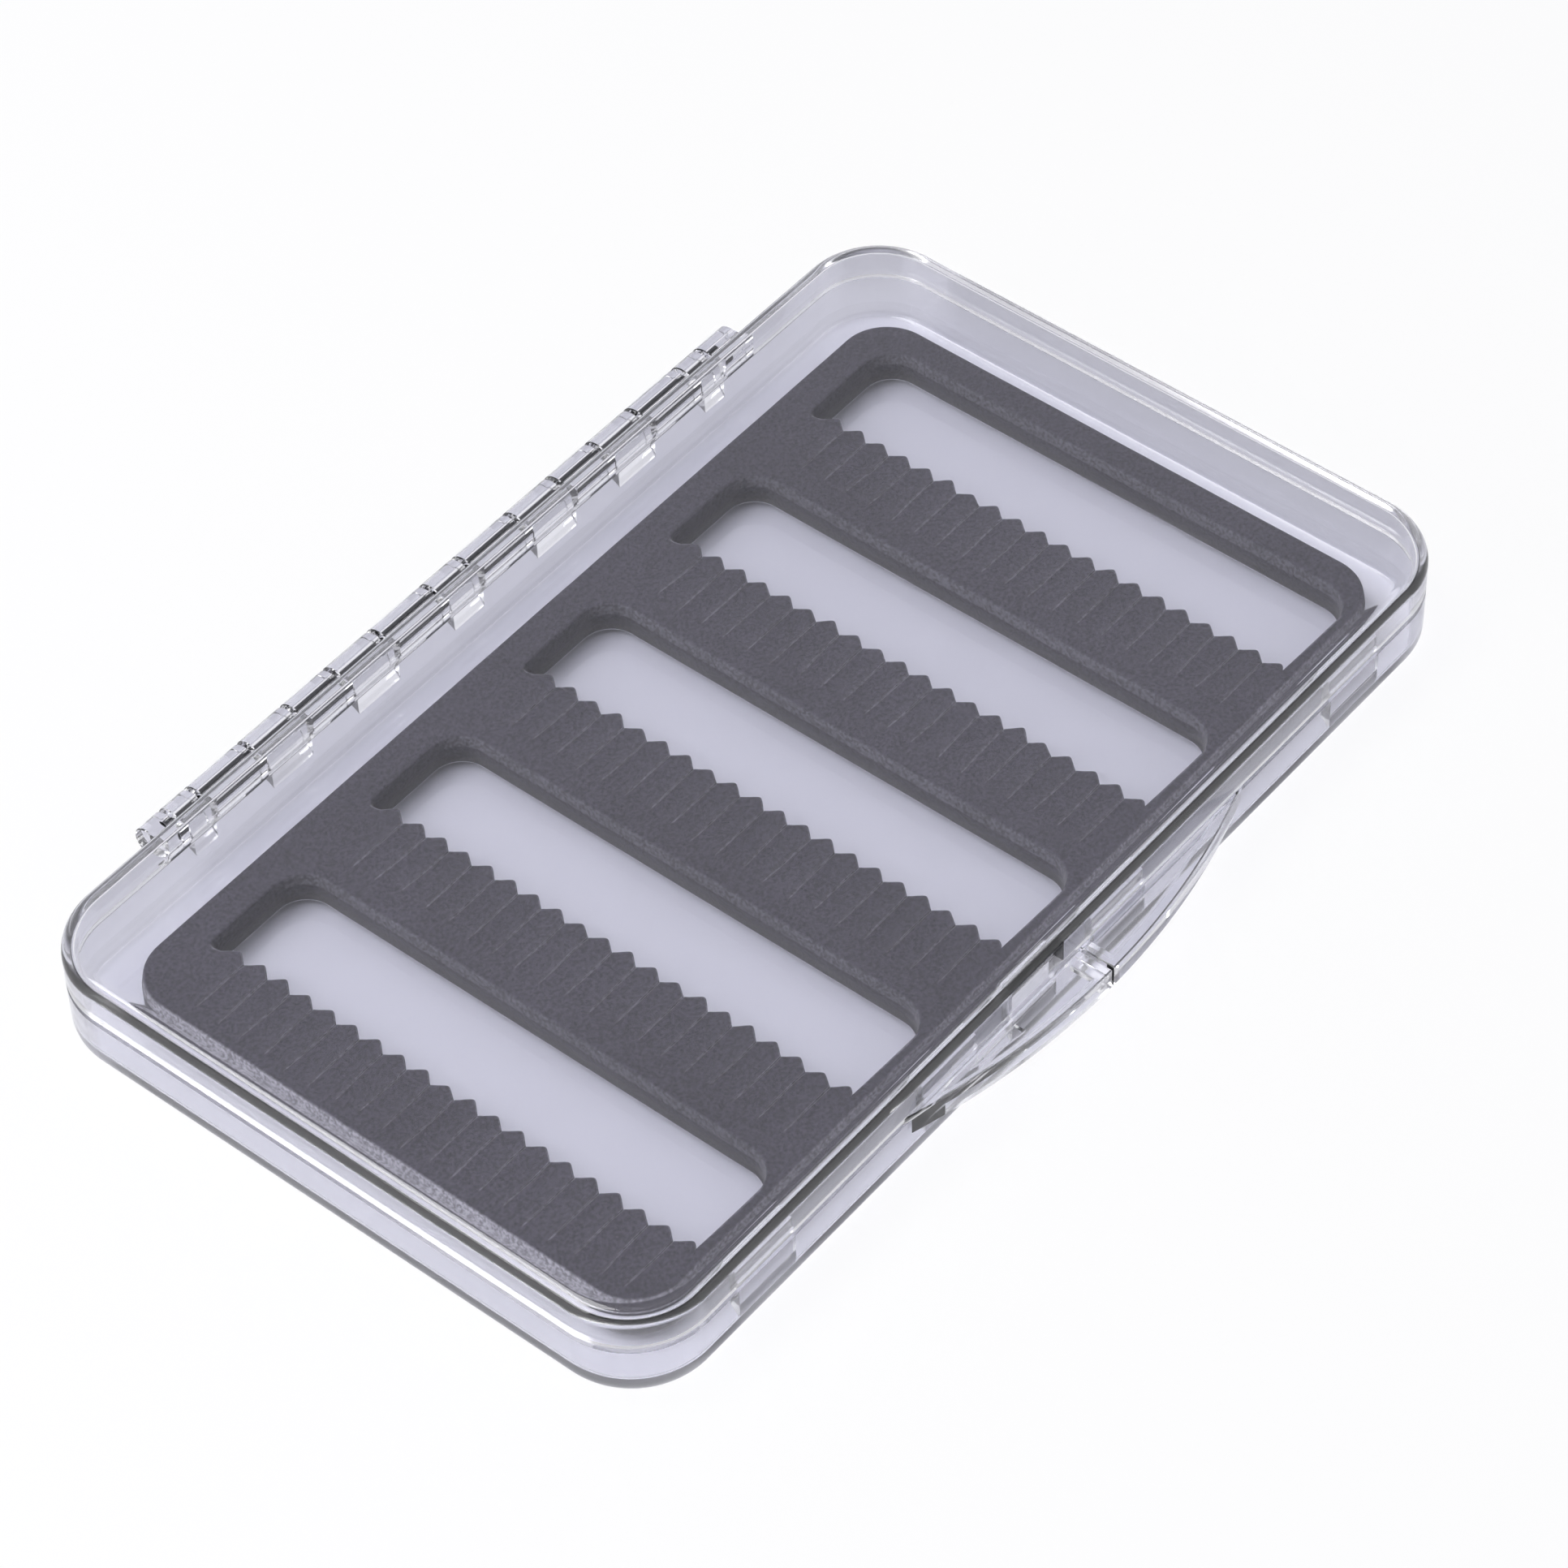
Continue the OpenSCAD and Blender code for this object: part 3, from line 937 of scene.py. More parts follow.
@dataclass(frozen=True)
class LidShell(Shell):
    """The lid: its walls, its knuckles, its half of the tab and the catch's window."""

    node: str = "lid"
    inner_edge: float = 0.5
    barrel_steps: int = 50

    def knuckle_outline(self) -> np.ndarray:
        """The barrel with a flat web from its top to the wall.

        Returns:
            Points by 2: y and z.
        """
        z = self.sizes
        reach = math.degrees(math.asin((z.pin_z - z.lid_foot) / z.knuckle_radius))
        barrel = arc((z.pin_y, z.pin_z), z.knuckle_radius, -180 + reach, 90,
                     self.barrel_steps)
        wall = z.hinge_y - z.wall / 2
        return np.array([*barrel, (wall, z.pin_z + z.knuckle_radius), (wall, z.lid_foot)])

    def tab(self) -> Piece:
        """The lid's half of the tab: a plate with a groove on top, and hollow below.

        Returns:
            The half.
        """
        z = self.sizes
        tab = self.half_tab(-1)
        groove = self.tab_outline(-1, z.tab_thickness, z.tab_web, z.latch_y - z.groove_ledge)
        under = self.tab_outline(-1, z.tab_thickness, z.tab_seam / 2 + z.tab_thickness, z.latch_y)
        groove_foot = z.tab_top - z.groove_depth
        below = z.tab_foot - self.overshoot
        combine(tab, prism(groove, groove_foot, z.tab_top + self.overshoot), "DIFFERENCE")
        combine(tab, prism(under, below, groove_foot - z.tab_thickness), "DIFFERENCE")
        combine(tab, self.relief(-1, below, z.lid_foot), "DIFFERENCE")
        return tab

    def build(self) -> Piece:
        """Builds the lid from its solids.

        Returns:
            The lid.
        """
        z = self.sizes
        section = self.section(z.lid_edge, max(z.lid_edge - z.wall, self.inner_edge), z.height,
                               z.lid_foot)
        piece = self.cup(section).piece("clear_lid")
        combine(piece, self.knuckles(1, self.knuckle_outline()), "UNION")
        combine(piece, self.tab(), "UNION")
        row_end = z.row_shift + z.open_reach
        combine(piece, self.bore(z.pin_start, row_end + self.overshoot, z.pin_clearance),
                "DIFFERENCE")
        wide = z.catch_width / 2 + z.window_margin
        window = rectangle((-z.catch_offset - wide, z.latch_y - self.overlap),
                           (-z.catch_offset + wide, z.latch_y + 2 * z.wall))
        combine(piece, prism(window, z.tab_top, z.tab_top + z.window_height), "DIFFERENCE")
        return piece


@dataclass(frozen=True)
class BaseShell(Shell):
    """The base: its walls, its knuckles, its half of the tab, its tongues and its catch."""

    node: str = "base"
    tongue_flare: float = 0.02

    def knuckle_outline(self) -> np.ndarray:
        """The barrel on a bracket whose sloping underside meets it at a tangent.

        Returns:
            Points by 2: y and z.
        """
        z = self.sizes
        foot = np.array([z.hinge_y, z.base_top - z.bracket_drop])
        reach = foot - (z.pin_y, z.pin_z)
        tangent = (math.degrees(math.atan2(reach[1], reach[0]))
                   + math.degrees(math.acos(z.knuckle_radius / np.linalg.norm(reach))))
        barrel = arc((z.pin_y, z.pin_z), z.knuckle_radius, tangent, 180, self.barrel_steps)
        wall = z.hinge_y - z.wall / 2
        return np.array([*barrel, (z.pin_y - z.knuckle_radius, z.base_top), (wall, z.base_top),
                         (wall, foot[1]), foot])

    def tongue(self, place: float, width: float, thickness: float, top: float) -> Solid:
        """A tongue that rises behind the lid's wall: its section carried along X.

        Args:
            place: The middle of the tongue, along X.
            width: Its width.
            thickness: Its thickness.
            top: Its top's height.

        Returns:
            The tongue.
        """
        z = self.sizes
        inner = z.latch_y + z.wall
        face, sunk = inner + z.tongue_clearance, inner - self.overlap
        section = np.array([
            (sunk, z.floor - self.overlap), (inner, z.floor - self.overlap),
            (inner + self.tongue_flare, z.floor),
            (face + thickness, z.floor + 2 * thickness), (face + thickness, top), (face, top),
            (face, z.base_top), (sunk, z.base_top)])
        return prism(section, place - width / 2, place + width / 2, True)

    def nib(self, foot: float, top: float) -> Solid:
        """The catch's nib, whose sloping top lets the lid's wall push it back.

        Args:
            foot: Its foot's height.
            top: Its top's height.

        Returns:
            The nib.
        """
        z = self.sizes
        face = z.latch_y + z.wall + z.tongue_clearance
        tip = z.latch_y + z.wall + z.nib_clearance
        section = np.array([(tip, foot), (face + self.overlap, foot), (face + self.overlap, top),
                            (face, top), (tip, foot + z.nib_height / 3)])
        return prism(section, -z.catch_offset - z.catch_width / 2,
                     -z.catch_offset + z.catch_width / 2, True)

    def tab(self) -> Piece:
        """The base's half of the tab, open at the top.

        Returns:
            The half.
        """
        z = self.sizes
        tab = self.half_tab(1)
        hollow = self.tab_outline(1, z.tab_thickness, z.tab_seam / 2 + z.tab_thickness, z.latch_y)
        above = z.tab_top + self.overshoot
        combine(tab, prism(hollow, z.tab_foot + z.tab_thickness, above), "DIFFERENCE")
        combine(tab, self.relief(1, z.base_top, above), "DIFFERENCE")
        return tab

    def build(self) -> Piece:
        """Builds the base from its solids.

        Returns:
            The base.
        """
        z = self.sizes
        section = self.section(z.base_edge, z.base_edge - z.wall, 0.0, z.base_top)
        piece = self.cup(section).piece("clear_base")
        combine(piece, self.knuckles(0, self.knuckle_outline()), "UNION")
        nib_foot = z.tab_top + z.nib_play
        nib_top = nib_foot + z.nib_height
        tongues = [self.tongue(place, z.tongue_width, z.tongue_thickness, z.base_top + z.tongue_rise)
                   for place in z.tongue_places]
        catch = self.tongue(-z.catch_offset, z.catch_width, z.catch_thickness, nib_top)
        combine(piece, Solid.join([*tongues, catch]), "UNION")
        combine(piece, self.nib(nib_foot, nib_top), "UNION")
        combine(piece, self.tab(), "UNION")
        combine(piece, self.bore(z.row_shift - z.blind_reach, z.row_shift + z.open_reach,
                                 z.pin_grip), "DIFFERENCE")
        return piece


@dataclass
class FoamInsert:
    """The slit foam insert: soft edges, rounded teeth and closed cuts.

    The plan is the CAD insert's plan. Each outline runs with the foam on its left, so the
    outside runs anticlockwise and each well clockwise. The shares and the spreads from tooth
    to tooth are parts of the size that they change, and the marks are parts of the lighter
    colour: the slits' own sliced colour, and painted highlight on shoulders that face -X and -Y.
    An edge ring is an angle over the edge, in degrees, and its share of that painted highlight.
    The grid starts and ends at distances from the insert's sides.
    """

    length: float = 136.8
    width: float = 76.8
    shift: Pair = (0.3, -0.5)
    floor: float = 2.1
    thickness: float = 4.1
    corner: float = 6.5
    well_count: int = 5
    well_width: float = 13.5
    end_bar: float = 11.6
    far_bar: float = 4.4
    hinge_bar: float = 4.8
    latch_bar: float = 1.7
    well_radius: float = 4.0
    comb_corner: float = 0.9
    comb_end: float = 0.25
    comb_foot: float = 0.54
    pitch: float = 3.48
    depth: float = 1.3
    comb_start: float = 1.6
    tip_round: float = 0.16
    depth_spread: float = 0.07
    tip_lean: float = 0.06
    slit_length: float = 8.5
    slit_width: float = 0.07
    slit_spread: float = 0.05
    slit_range: Pair = (-1.6, 0.7)
    slit_bend: float = 0.16
    slit_wander: float = 0.05
    slit_phase: float = 5.0
    tooth_steps: int = 17
    slit_steps: int = 13
    side_step: float = 2.5
    corner_steps: int = 14
    well_steps: int = 12
    comb_corner_steps: int = 6
    edge: float = 0.3
    edge_lap: float = 0.06
    edge_rings: tuple[Pair, ...] = ((0.0, 1.0), (30.0, 0.9), (60.0, 0.3), (90.0, 0.0))
    bend_least: float = 0.62
    tooth_edge: float = 0.45
    slit_edge: float = 0.2
    lip_below: float = 0.44
    lip: float = 0.03
    shoulder: float = 0.2
    shoulder_drop: float = 1.6
    shoulder_start: float = 0.12
    face_drop: float = 0.03
    wave: float = 0.018
    cut_mark: float = 0.29
    # Painted highlight on the shoulders that face -X, in the wells and on the outside, and the share that
    # the outside gets where it faces -Y.
    well_highlight: float = 0.19
    side_highlight: float = 1.0
    side_highlight_share: float = 0.6
    grid_step: float = 2.0
    grid_gap: float = 0.9
    grid_start: Pair = (1.5, 1.0)
    grid_end: Pair = (1.2, 0.8)
    grid_blocks: int = 40
    seed: int = 11

    def outside(self) -> np.ndarray:
        """The insert's outer outline: four corner arcs joined by straight sides.

        Returns:
            An array of points by 3: x, y and the share of the full edge that a point takes.
        """
        reach_x, reach_y = self.length / 2 - self.corner, self.width / 2 - self.corner
        points = np.concatenate([
            arc((sx * reach_x, sy * reach_y), self.corner, a, a + 90, self.corner_steps)
            for sx, sy, a in ((1, 1, 0), (-1, 1, 90), (-1, -1, 180), (1, -1, 270))])
        return self.subdivide(np.column_stack([points, np.ones(len(points))]))

    def subdivide(self, points: np.ndarray) -> np.ndarray:
        """Adds even points along each side of a closed outline that is longer than side_step.

        Args:
            points: The outline's points, with their shares.

        Returns:
            The outline with more points.
        """
        ends = np.roll(points, -1, axis=0)
        sides = np.linalg.norm((ends - points)[:, :2], axis=1)
        counts = np.maximum(np.ceil(sides / self.side_step).astype(int), 1)
        owner = np.repeat(np.arange(len(points)), counts)
        first = np.concatenate([[0], np.cumsum(counts)[:-1]])
        share = (np.arange(len(owner)) - first[owner]) / counts[owner]
        return points[owner] + share[:, None] * (ends - points)[owner]

    def comb(self, rng: np.random.Generator, top: float, end: float) -> np.ndarray:
        """The comb edge of one well, from its hinge end to its latch end.

        A tooth's height is the depth less the root of the square of the distance from its tip
        plus a small square, scaled to be zero at its feet. Between teeth the outline goes down
        a slit, whose half width falls as a root towards its closed end, and back up.

        Args:
            rng: The source of the small differences from tooth to tooth.
            top: y of the well's hinge end.
            end: y of the well's latch end.

        Returns:
            An array of points by 3: x from the foot of the teeth, y and the share of the edge.
        """
        count = int(round((top - end - self.comb_start) / self.pitch))
        centre = top - self.comb_start - (np.arange(count) + 0.5) * self.pitch
        u, soft = np.linspace(-1.0, 1.0, self.tooth_steps)[None, :], self.tip_round
        shape = 1 - (np.sqrt(u * u + soft * soft) - soft) / (math.sqrt(1 + soft * soft) - soft)
        height = self.depth * (1 + self.depth_spread * rng.standard_normal((count, 1)))
        lean = self.tip_lean * rng.standard_normal((count, 1)) * (1 - u * u)
        half = self.pitch / 2 - self.slit_width / 2
        tooth = np.stack([height * shape, centre[:, None] - u * half + lean], 2)
        down = np.linspace(0.0, 1.0, self.slit_steps)
        both = np.concatenate([down, down[-2::-1]])[None, :]
        side = np.sign(self.slit_steps - 1 - np.arange(both.size))
        valley = (centre[:-1] + centre[1:]) / 2
        reach = self.slit_length * (
            1 + self.slit_spread * rng.uniform(*self.slit_range, (count - 1, 1)))
        bend = self.slit_bend * rng.standard_normal((count - 1, 1))
        wander = self.slit_wander * rng.standard_normal((count - 1, 1))
        width = self.slit_width / 2 * np.sqrt(np.clip(1 - both, 0, 1)) * side
        slit = np.stack([-reach * both, valley[:, None] + width + bend * both ** 2
                         + wander * np.sin(both * self.slit_phase)], 2)[:, 1:-1]
        tooth = np.concatenate([tooth, np.full((*tooth.shape[:2], 1), self.tooth_edge)], 2)
        slit = np.concatenate([slit, np.full((*slit.shape[:2], 1), self.slit_edge)], 2)
        pairs = np.concatenate([tooth[:-1], slit], axis=1).reshape(-1, 3)
        return np.concatenate([pairs, tooth[-1]])

    def well(self, index: int, rng: np.random.Generator) -> np.ndarray:
        """One well's outline: its comb, its latch end, its straight edge and its hinge end.

        Args:
            index: Which well, counted from the left.
            rng: The source of the small differences from tooth to tooth.

        Returns:
            An array of points by 3, anticlockwise seen from above: x, y and the edge's share.
        """
        pitch = ((self.length - self.end_bar - self.far_bar - self.well_width)
                 / (self.well_count - 1))
        foot = -self.length / 2 + self.end_bar - self.depth + index * pitch
        top = self.width / 2 - self.hinge_bar
        end = -self.width / 2 + self.latch_bar
        right = foot + self.depth + self.well_width
        r, c, steps = self.well_radius, self.comb_corner, self.well_steps
        comb = self.comb(rng, top, end)
        comb = comb[comb[:, 1] > end + self.comb_end] + (foot, 0, 0)
        low = np.array([[foot + self.comb_foot, end, self.tooth_edge]])
        first, second, third = [
            np.pad(arc(*values), ((0, 0), (0, 1)), constant_values=1) for values in (
                ((foot + c, top - c), c, 90, 180, self.comb_corner_steps),
                ((right - r, end + r), r, 270, 360, steps),
                ((right - r, top - r), r, 0, 90, steps))]
        points = self.subdivide(np.concatenate([first, comb, low, second, third]))
        near = np.stack([np.roll(points[:, 2], k) for k in (-2, -1, 0, 1, 2)])
        points[:, 2] = np.minimum(near.mean(0), points[:, 2])
        return points

    def inward(self, points: np.ndarray) -> np.ndarray:
        """Unit directions from an outline into the foam, stretched a little at its corners.

        Each is the mean of the two neighbouring sides' normals, over its own length, capped.

        Args:
            points: A closed outline that has the foam on its left.

        Returns:
            One direction for each point.
        """
        ahead = np.roll(points, -1, axis=0) - points
        ahead /= np.linalg.norm(ahead, axis=1, keepdims=True)
        behind = np.roll(ahead, 1, axis=0)
        normal = np.stack([-(ahead + behind)[:, 1], (ahead + behind)[:, 0]], 1) / 2
        size = np.linalg.norm(normal, axis=1, keepdims=True)
        return normal / np.maximum(size, self.bend_least) ** 2

    def top_height(self, points: np.ndarray) -> np.ndarray:
        """Height of the foam's face: flat but for three slow waves of a few hundredths.

        Args:
            points: Points by 2: x and y.

        Returns:
            One height for each point.
        """
        x, y = points[:, 0], points[:, 1]
        waves = (np.sin(x * 0.21 + 1.0) * np.sin(y * 0.17 + 0.4)
                 + 0.6 * np.sin(x * 0.53 + y * 0.31) + 0.4 * np.sin(y * 0.9 - x * 0.4))
        return self.floor + self.thickness - self.face_drop + self.wave * waves

    @staticmethod
    def fill(rings: list[np.ndarray], extra: np.ndarray) -> np.ndarray:
        """Fills the plane between closed outlines with triangles that face upwards.

        Args:
            rings: The outlines, the outer one first.
            extra: More points that the triangles use.

        Returns:
            Rows of three indices into the outlines' points followed by the extra points.
        """
        points = np.concatenate([*rings, extra])
        edges: list[tuple[int, int]] = []
        start = 0
        for ring in rings:
            index = start + np.arange(len(ring))
            edges += list(zip(index.tolist(), np.roll(index, -1).tolist()))
            start += len(ring)
        result = delaunay_2d_cdt([Vector(p) for p in points.tolist()], edges, [], 2, 1e-9)
        if len(result[0]) != len(points):
            LOG.warning("the outlines cross at %d points", len(result[0]) - len(points))
        source = np.array([ids[0] if ids else -1 for ids in result[3]])
        triangles = source[np.array(result[2])]
        corners = points[triangles]
        first, second = corners[:, 1] - corners[:, 0], corners[:, 2] - corners[:, 0]
        back = first[:, 0] * second[:, 1] < first[:, 1] * second[:, 0]
        triangles[back] = triangles[back][:, ::-1]
        hollow = np.zeros(len(triangles), bool)
        for ring in rings[1:]:
            hollow |= FoamInsert.inside(corners.mean(1), ring)
        return triangles[~hollow]

    @staticmethod
    def inside(points: np.ndarray, outline: np.ndarray) -> np.ndarray:
        """Whether each point is inside: a ray to its right crosses the outline an odd number of times.

        Args:
            points: Points by 2.
            outline: A closed outline.

        Returns:
            One truth for each point.
        """
        a, b = outline, np.roll(outline, -1, axis=0)
        y = points[:, 1][:, None]
        spans = (a[:, 1] > y) != (b[:, 1] > y)
        rise = np.where(b[:, 1] == a[:, 1], 1e-12, b[:, 1] - a[:, 1])
        cross = a[:, 0] + (y - a[:, 1]) * (b[:, 0] - a[:, 0]) / rise
        return (spans & (points[:, 0][:, None] < cross)).sum(1) % 2 == 1

    def shoulder_highlight(self, into: np.ndarray, share: np.ndarray, outer: int) -> np.ndarray:
        """How much painted highlight the shoulder gets where it faces -X: the part of the direction
        into the foam along +X, and on the outside also some of that along +Y. Teeth and slits have none.

        Args:
            into: Directions into the foam.
            share: Share of the full edge at each point.
            outer: How many of the points are the outside's.

        Returns:
            One value for each point.
        """
        light = self.well_highlight * np.clip(into[:, 0], 0, 1)
        side = into[:outer, 0] + self.side_highlight_share * into[:outer, 1]
        light[:outer] = self.side_highlight * np.clip(side, 0, 1)
        return np.where(share < 1.0, 0.0, light)

    def face_points(self, outlines: list[np.ndarray]) -> np.ndarray:
        """The points of a grid on the face that are in the foam and clear of every outline.

        Args:
            outlines: The insert's outlines, the outer one first.

        Returns:
            Points by 2.
        """
        columns, rows = [
            np.arange(-size / 2 + start, size / 2 - end, self.grid_step) for size, start, end in
            zip((self.length, self.width), self.grid_start, self.grid_end)]
        grid = np.stack(np.meshgrid(columns, rows), 2).reshape(-1, 2)
        edge = np.concatenate(outlines)
        gaps = [np.linalg.norm(block[:, None] - edge[None], axis=2).min(1)
                for block in np.array_split(grid, self.grid_blocks)]
        keep = (np.concatenate(gaps) > self.grid_gap) & self.inside(grid, outlines[0])
        for outline in outlines[1:]:
            keep &= ~self.inside(grid, outline)
        return grid[keep]

    def walls(self, plan: np.ndarray, share: np.ndarray, into: np.ndarray,
              outer: int) -> tuple[list[np.ndarray], np.ndarray]:
        """The rings of points that the walls and their edges run through.

        One is at the floor, two are where the wall begins to lean back, four are on a quarter
        circle over the edge and one is on the face. The lips of the slits stand proud.

        Args:
            plan: The points of all outlines.
            share: Share of the full edge at each point.
            into: Direction into the foam at each point.
            outer: How many of the points are the outside's.

        Returns:
            The rings, and how far each of their points has the cut colour.
        """
        slope = self.shoulder * np.clip(share * 2 - 1, 0, 1)
        edge = self.edge * share
        lips = np.where(share < self.lip_below, self.lip, 0.0)
        low = self.top_height(plan) - self.shoulder_drop
        # Painted highlight on the shoulders that face -X, and on the outside also -Y.
        shoulder_highlight, none = self.shoulder_highlight(into, share, outer), np.zeros(len(plan))
        rings = [np.column_stack([plan, np.full(len(plan), self.floor)]),
                 np.column_stack([plan, low]), np.column_stack([plan, low + self.shoulder_start])]
        marks = [none, none, shoulder_highlight]
        for angle, mark in self.edge_rings:
            turn = math.radians(angle)
            level = plan + into * (slope + edge * (1 - math.cos(turn)))[:, None]
            height = self.top_height(level) - edge * (1 - math.sin(turn)) + lips
            rings.append(np.column_stack([level, height]))
            marks.append(np.where(share < 1.0, self.cut_mark, shoulder_highlight * mark))
        level = plan + into * (slope + edge + self.edge_lap)[:, None]
        rings.append(np.column_stack([level, self.top_height(level)]))
        return rings, np.concatenate([*marks, none])

    def build(self) -> Piece:
        """Builds the insert as one closed mesh: its walls, its face and its underside.

        Returns:
            The insert.
        """
        rng = np.random.default_rng(self.seed)
        drawn = [self.outside(), *(self.well(i, rng)[::-1] for i in range(self.well_count))]
        outlines = [o[:, :2] for o in drawn]
        counts = [len(o) for o in drawn]
        plan, share = np.concatenate(outlines), np.concatenate([o[:, 2] for o in drawn])
        into = np.concatenate([self.inward(o) for o in outlines])
        rings, marks = self.walls(plan, share, into, counts[0])
        n, cuts, grid = len(plan), np.cumsum(counts)[:-1], self.face_points(outlines)
        face = self.fill(np.split(rings[-1][:, :2], cuts), grid)
        used = np.isin(np.arange(n, n + len(grid)), face)
        number = np.concatenate([np.arange(n), n + np.cumsum(used) - 1])
        grid = grid[used]
        under = self.fill(outlines, np.zeros((0, 2)))
        here = np.arange(n)
        after = np.concatenate([np.roll(ids, -1) for ids in np.split(here, cuts)])
        ring = np.stack([here, after, n + after, n + here], 1)
        quads = [ring + level * n for level in range(len(rings) - 1)]
        points = np.concatenate([*rings, np.column_stack([grid, self.top_height(grid)])])
        points[:, :2] += self.shift
        faces = [*np.concatenate(quads).tolist(), *(number[face] + (len(rings) - 1) * n).tolist(),
                 *under[:, ::-1].tolist()]
        mesh = new_mesh("foam_insert", points, faces)
        mesh.polygons.foreach_set("use_smooth", np.ones(len(mesh.polygons), bool))
        # The slits' lighter colour and the shoulders' painted highlight.
        cut = np.concatenate([marks, np.zeros(len(grid))])
        mesh.attributes.new("cut", "FLOAT", "POINT").data.foreach_set("value", cut)
        return link_new("foam_insert", mesh)

    def finish(self, piece: Piece, effects: Effects) -> None:
        """Dresses the insert, puts it on the base and hides the CAD insert that it takes the place of.

        Args:
            piece: The insert.
            effects: The shared node groups.
        """
        dress(piece, CutFoam().build(effects))
        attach(piece, "base")
        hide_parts("slit_foam")
        LOG.info("%s: %d vertices", piece.name, len(piece.data.vertices))


# ---- Camera and studio --------------------------------------------------------------------


@dataclass
class Camera:
    """The photograph's camera, in the frame of the case."""

    focal_px: float = 7040.0
    image_px: float = 1932.0
    sensor: float = 36.0
    azimuth: float = -49.4
    elevation: float = 48.16
    roll: float = -2.0
    place: tuple[float, float, float] = (-331.6, -287.15, 495.3)

    def build(self) -> None:
        """Makes the camera and sets it as the scene's."""
        azimuth, elevation = math.radians(self.azimuth), math.radians(self.elevation)
        roll = math.radians(self.roll)
        back = Vector((math.sin(azimuth) * math.cos(elevation),
                       -math.cos(azimuth) * math.cos(elevation), math.sin(elevation)))
        right = (-back).cross(Vector((0, 0, 1))).normalized()
        up = right.cross(-back)
        data = bpy.data.cameras.new("photo_camera")
        data.sensor_width = self.sensor
        data.lens = self.focal_px / self.image_px * self.sensor
        data.clip_start, data.clip_end = 0.01, 20.0
        camera = link_new("photo_camera", data)
        matrix = Matrix((right * math.cos(roll) + up * math.sin(roll),
                         -right * math.sin(roll) + up * math.cos(roll), back)).transposed().to_4x4()
        matrix.translation = Vector(self.place) * MM
        camera.matrix_world = matrix
        bpy.context.scene.camera = camera


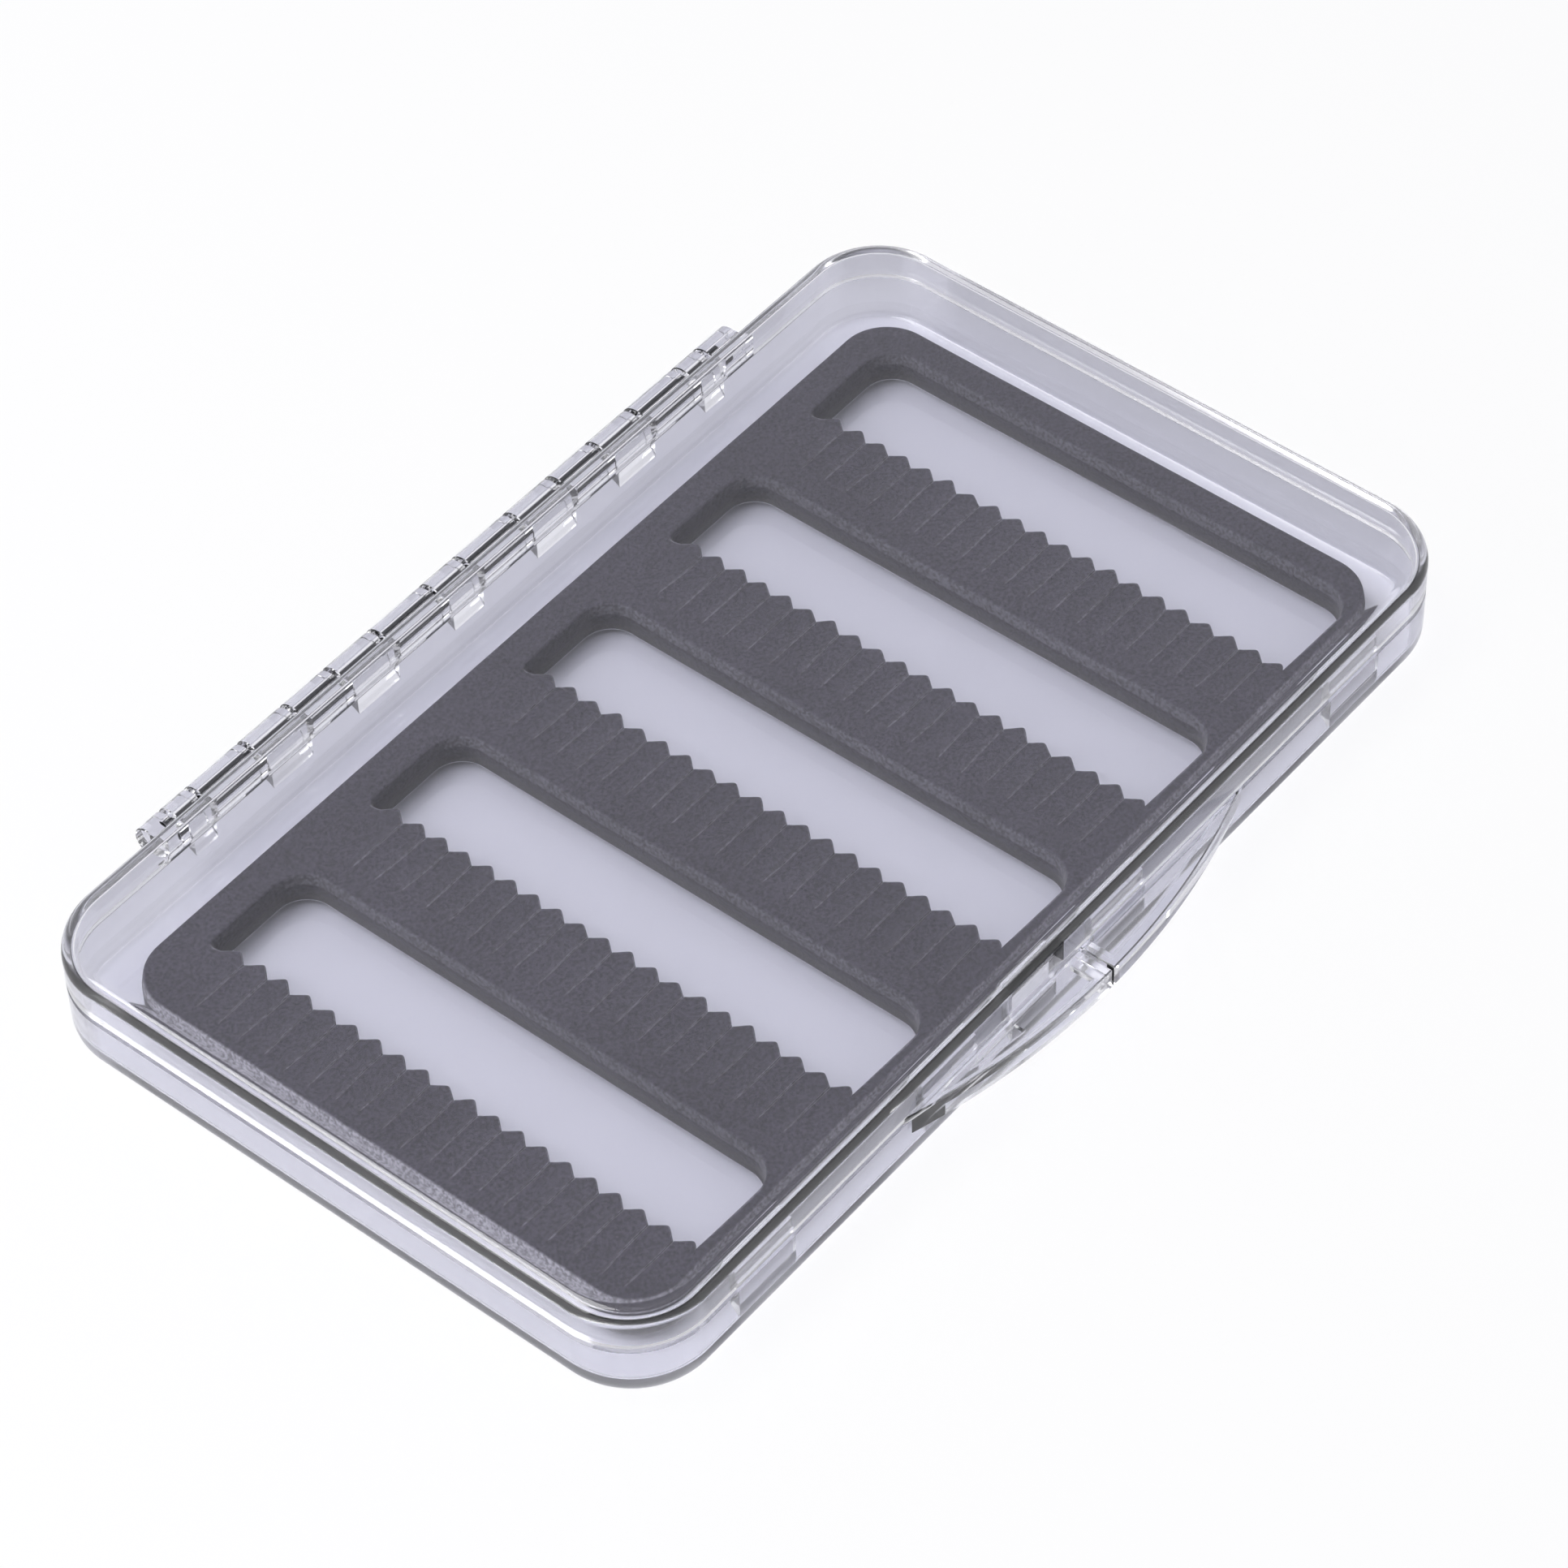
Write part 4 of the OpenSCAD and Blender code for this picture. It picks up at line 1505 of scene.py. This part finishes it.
@dataclass
class Studio:
    """A pale floor, soft lamps and a white surround. The lamps' places and sizes are metres."""

    floor_colour: Colour = (0.86, 0.86, 0.87)
    shade_under_glass: Colour = (0.56, 0.56, 0.62)
    floor_size: float = 6.0
    floor_drop: float = 0.1
    floor_lift: float = 0.75
    ambient: float = 0.5
    overhead: float = 0.22
    overhead_band: Pair = (0.02, 0.45)
    through: float = 0.68
    through_band: Pair = (0.1, 0.9)
    tint: Colour = (0.95, 0.95, 1.0)
    lamp_rows: tuple[tuple[str, tuple[float, float, float], float, float], ...] = (
        ("top_lamp", (-0.45, 0.35, 1.1), 0.7, 9.0),
        ("left_lamp", (-1.2, 0.3, 0.6), 0.6, 4.0),
        ("right_lamp", (0.6, -1.0, 0.9), 0.7, 2.0))

    def build(self) -> None:
        """Builds the floor, the lamps and the world."""
        self.floor()
        self.lamps()
        self.world()

    def floor(self) -> None:
        """Lays the floor. The camera sees it nearer to white, and through the glass it is greyer, a
        painted shade under the case.
        """
        half = self.floor_size / 2 / MM
        corners = rectangle((-half, -half), (half, half))
        points = np.column_stack([corners, np.full(4, -self.floor_drop)])
        floor = link_new("floor", new_mesh("floor", points, [[0, 1, 2, 3]]))
        canvas = Canvas("pale floor")
        tree = canvas.tree
        path = add_node(tree, "ShaderNodeLightPath").outputs
        # Seen through the glass the floor takes a darker colour: painted shade under the case.
        colour = mix_colour(tree, path[Ray.TRANSMISSION.value], self.floor_colour, self.shade_under_glass)
        canvas.set(Roughness=0.9, Specular_IOR_Level=0.0, Base_Color=colour)
        canvas.cover(math_node(tree, "MULTIPLY", path[Ray.CAMERA.value], self.floor_lift),
                     add_node(tree, "ShaderNodeEmission", in_Color=WHITE))
        dress(floor, canvas.material)

    def lamps(self) -> None:
        """Hangs soft square lamps, each turned to the case."""
        for name, place, size, power in self.lamp_rows:
            data = bpy.data.lights.new(name, "AREA")
            data.size = size
            data.energy = power
            lamp = link_new(name, data)
            lamp.location = place
            lamp.rotation_euler = (-Vector(place)).to_track_quat("-Z", "Y").to_euler()

    def world(self) -> None:
        """Makes the surround: white to the camera, and in gloss and glass it is white at the
        height of the floor and falls to grey overhead, where the room is."""
        world = bpy.data.worlds.new("studio")
        bpy.context.scene.world = world
        world.use_nodes = True
        tree = world.node_tree
        tree.nodes.clear()
        path = add_node(tree, "ShaderNodeLightPath").outputs
        where = add_node(tree, "ShaderNodeTexCoord")
        height = add_node(tree, "ShaderNodeSeparateXYZ", in_Vector=where.outputs["Generated"]).outputs["Z"]
        overhead = ramp(tree, height, *self.overhead_band, 1.0, self.overhead)
        above = ramp(tree, height, *self.through_band, 1.0, self.through)
        lit = mix_value(tree, path[Ray.GLOSSY.value], self.ambient, overhead)
        lit = mix_value(tree, path[Ray.TRANSMISSION.value], lit, above)
        colour = mix_colour(tree, path[Ray.CAMERA.value], self.tint, WHITE)
        background = add_node(tree, "ShaderNodeBackground", in_Color=colour,
                              in_Strength=math_node(tree, "MAXIMUM", lit, path[Ray.CAMERA.value]))
        add_node(tree, "ShaderNodeOutputWorld", in_Surface=background.outputs[0])


@dataclass
class FlyBox:
    """The whole case: its pieces, each with its finish and what it rides on."""

    frame: dict[str, Any]
    effects: Effects = field(default_factory=Effects)
    sizes: CaseSizes = CaseSizes()

    def build(self) -> None:
        """Dresses the CAD nodes that stay, and builds the shells and the insert over theirs."""
        finishes: dict[str, Any] = {"hinge_pin": DrawnSteel(), "adhesive_film": MilkyFilm()}
        for name, finish in finishes.items():
            dress(self.frame["nodes"][name], finish.build(self.effects))
            LOG.info("%s: %s", name, finish.name)
        for part in (LidShell(self.sizes), BaseShell(self.sizes), FoamInsert()):
            part.finish(part.build(), self.effects)


def main() -> None:
    """Loads the frame, builds the camera, the studio and the case."""
    logging.basicConfig(level=logging.INFO, format="%(name)s: %(message)s")
    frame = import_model()
    bpy.context.scene.view_settings.view_transform = "Standard"
    Camera().build()
    Studio().build()
    FlyBox(frame).build()


if __name__ == "__main__":
    main()
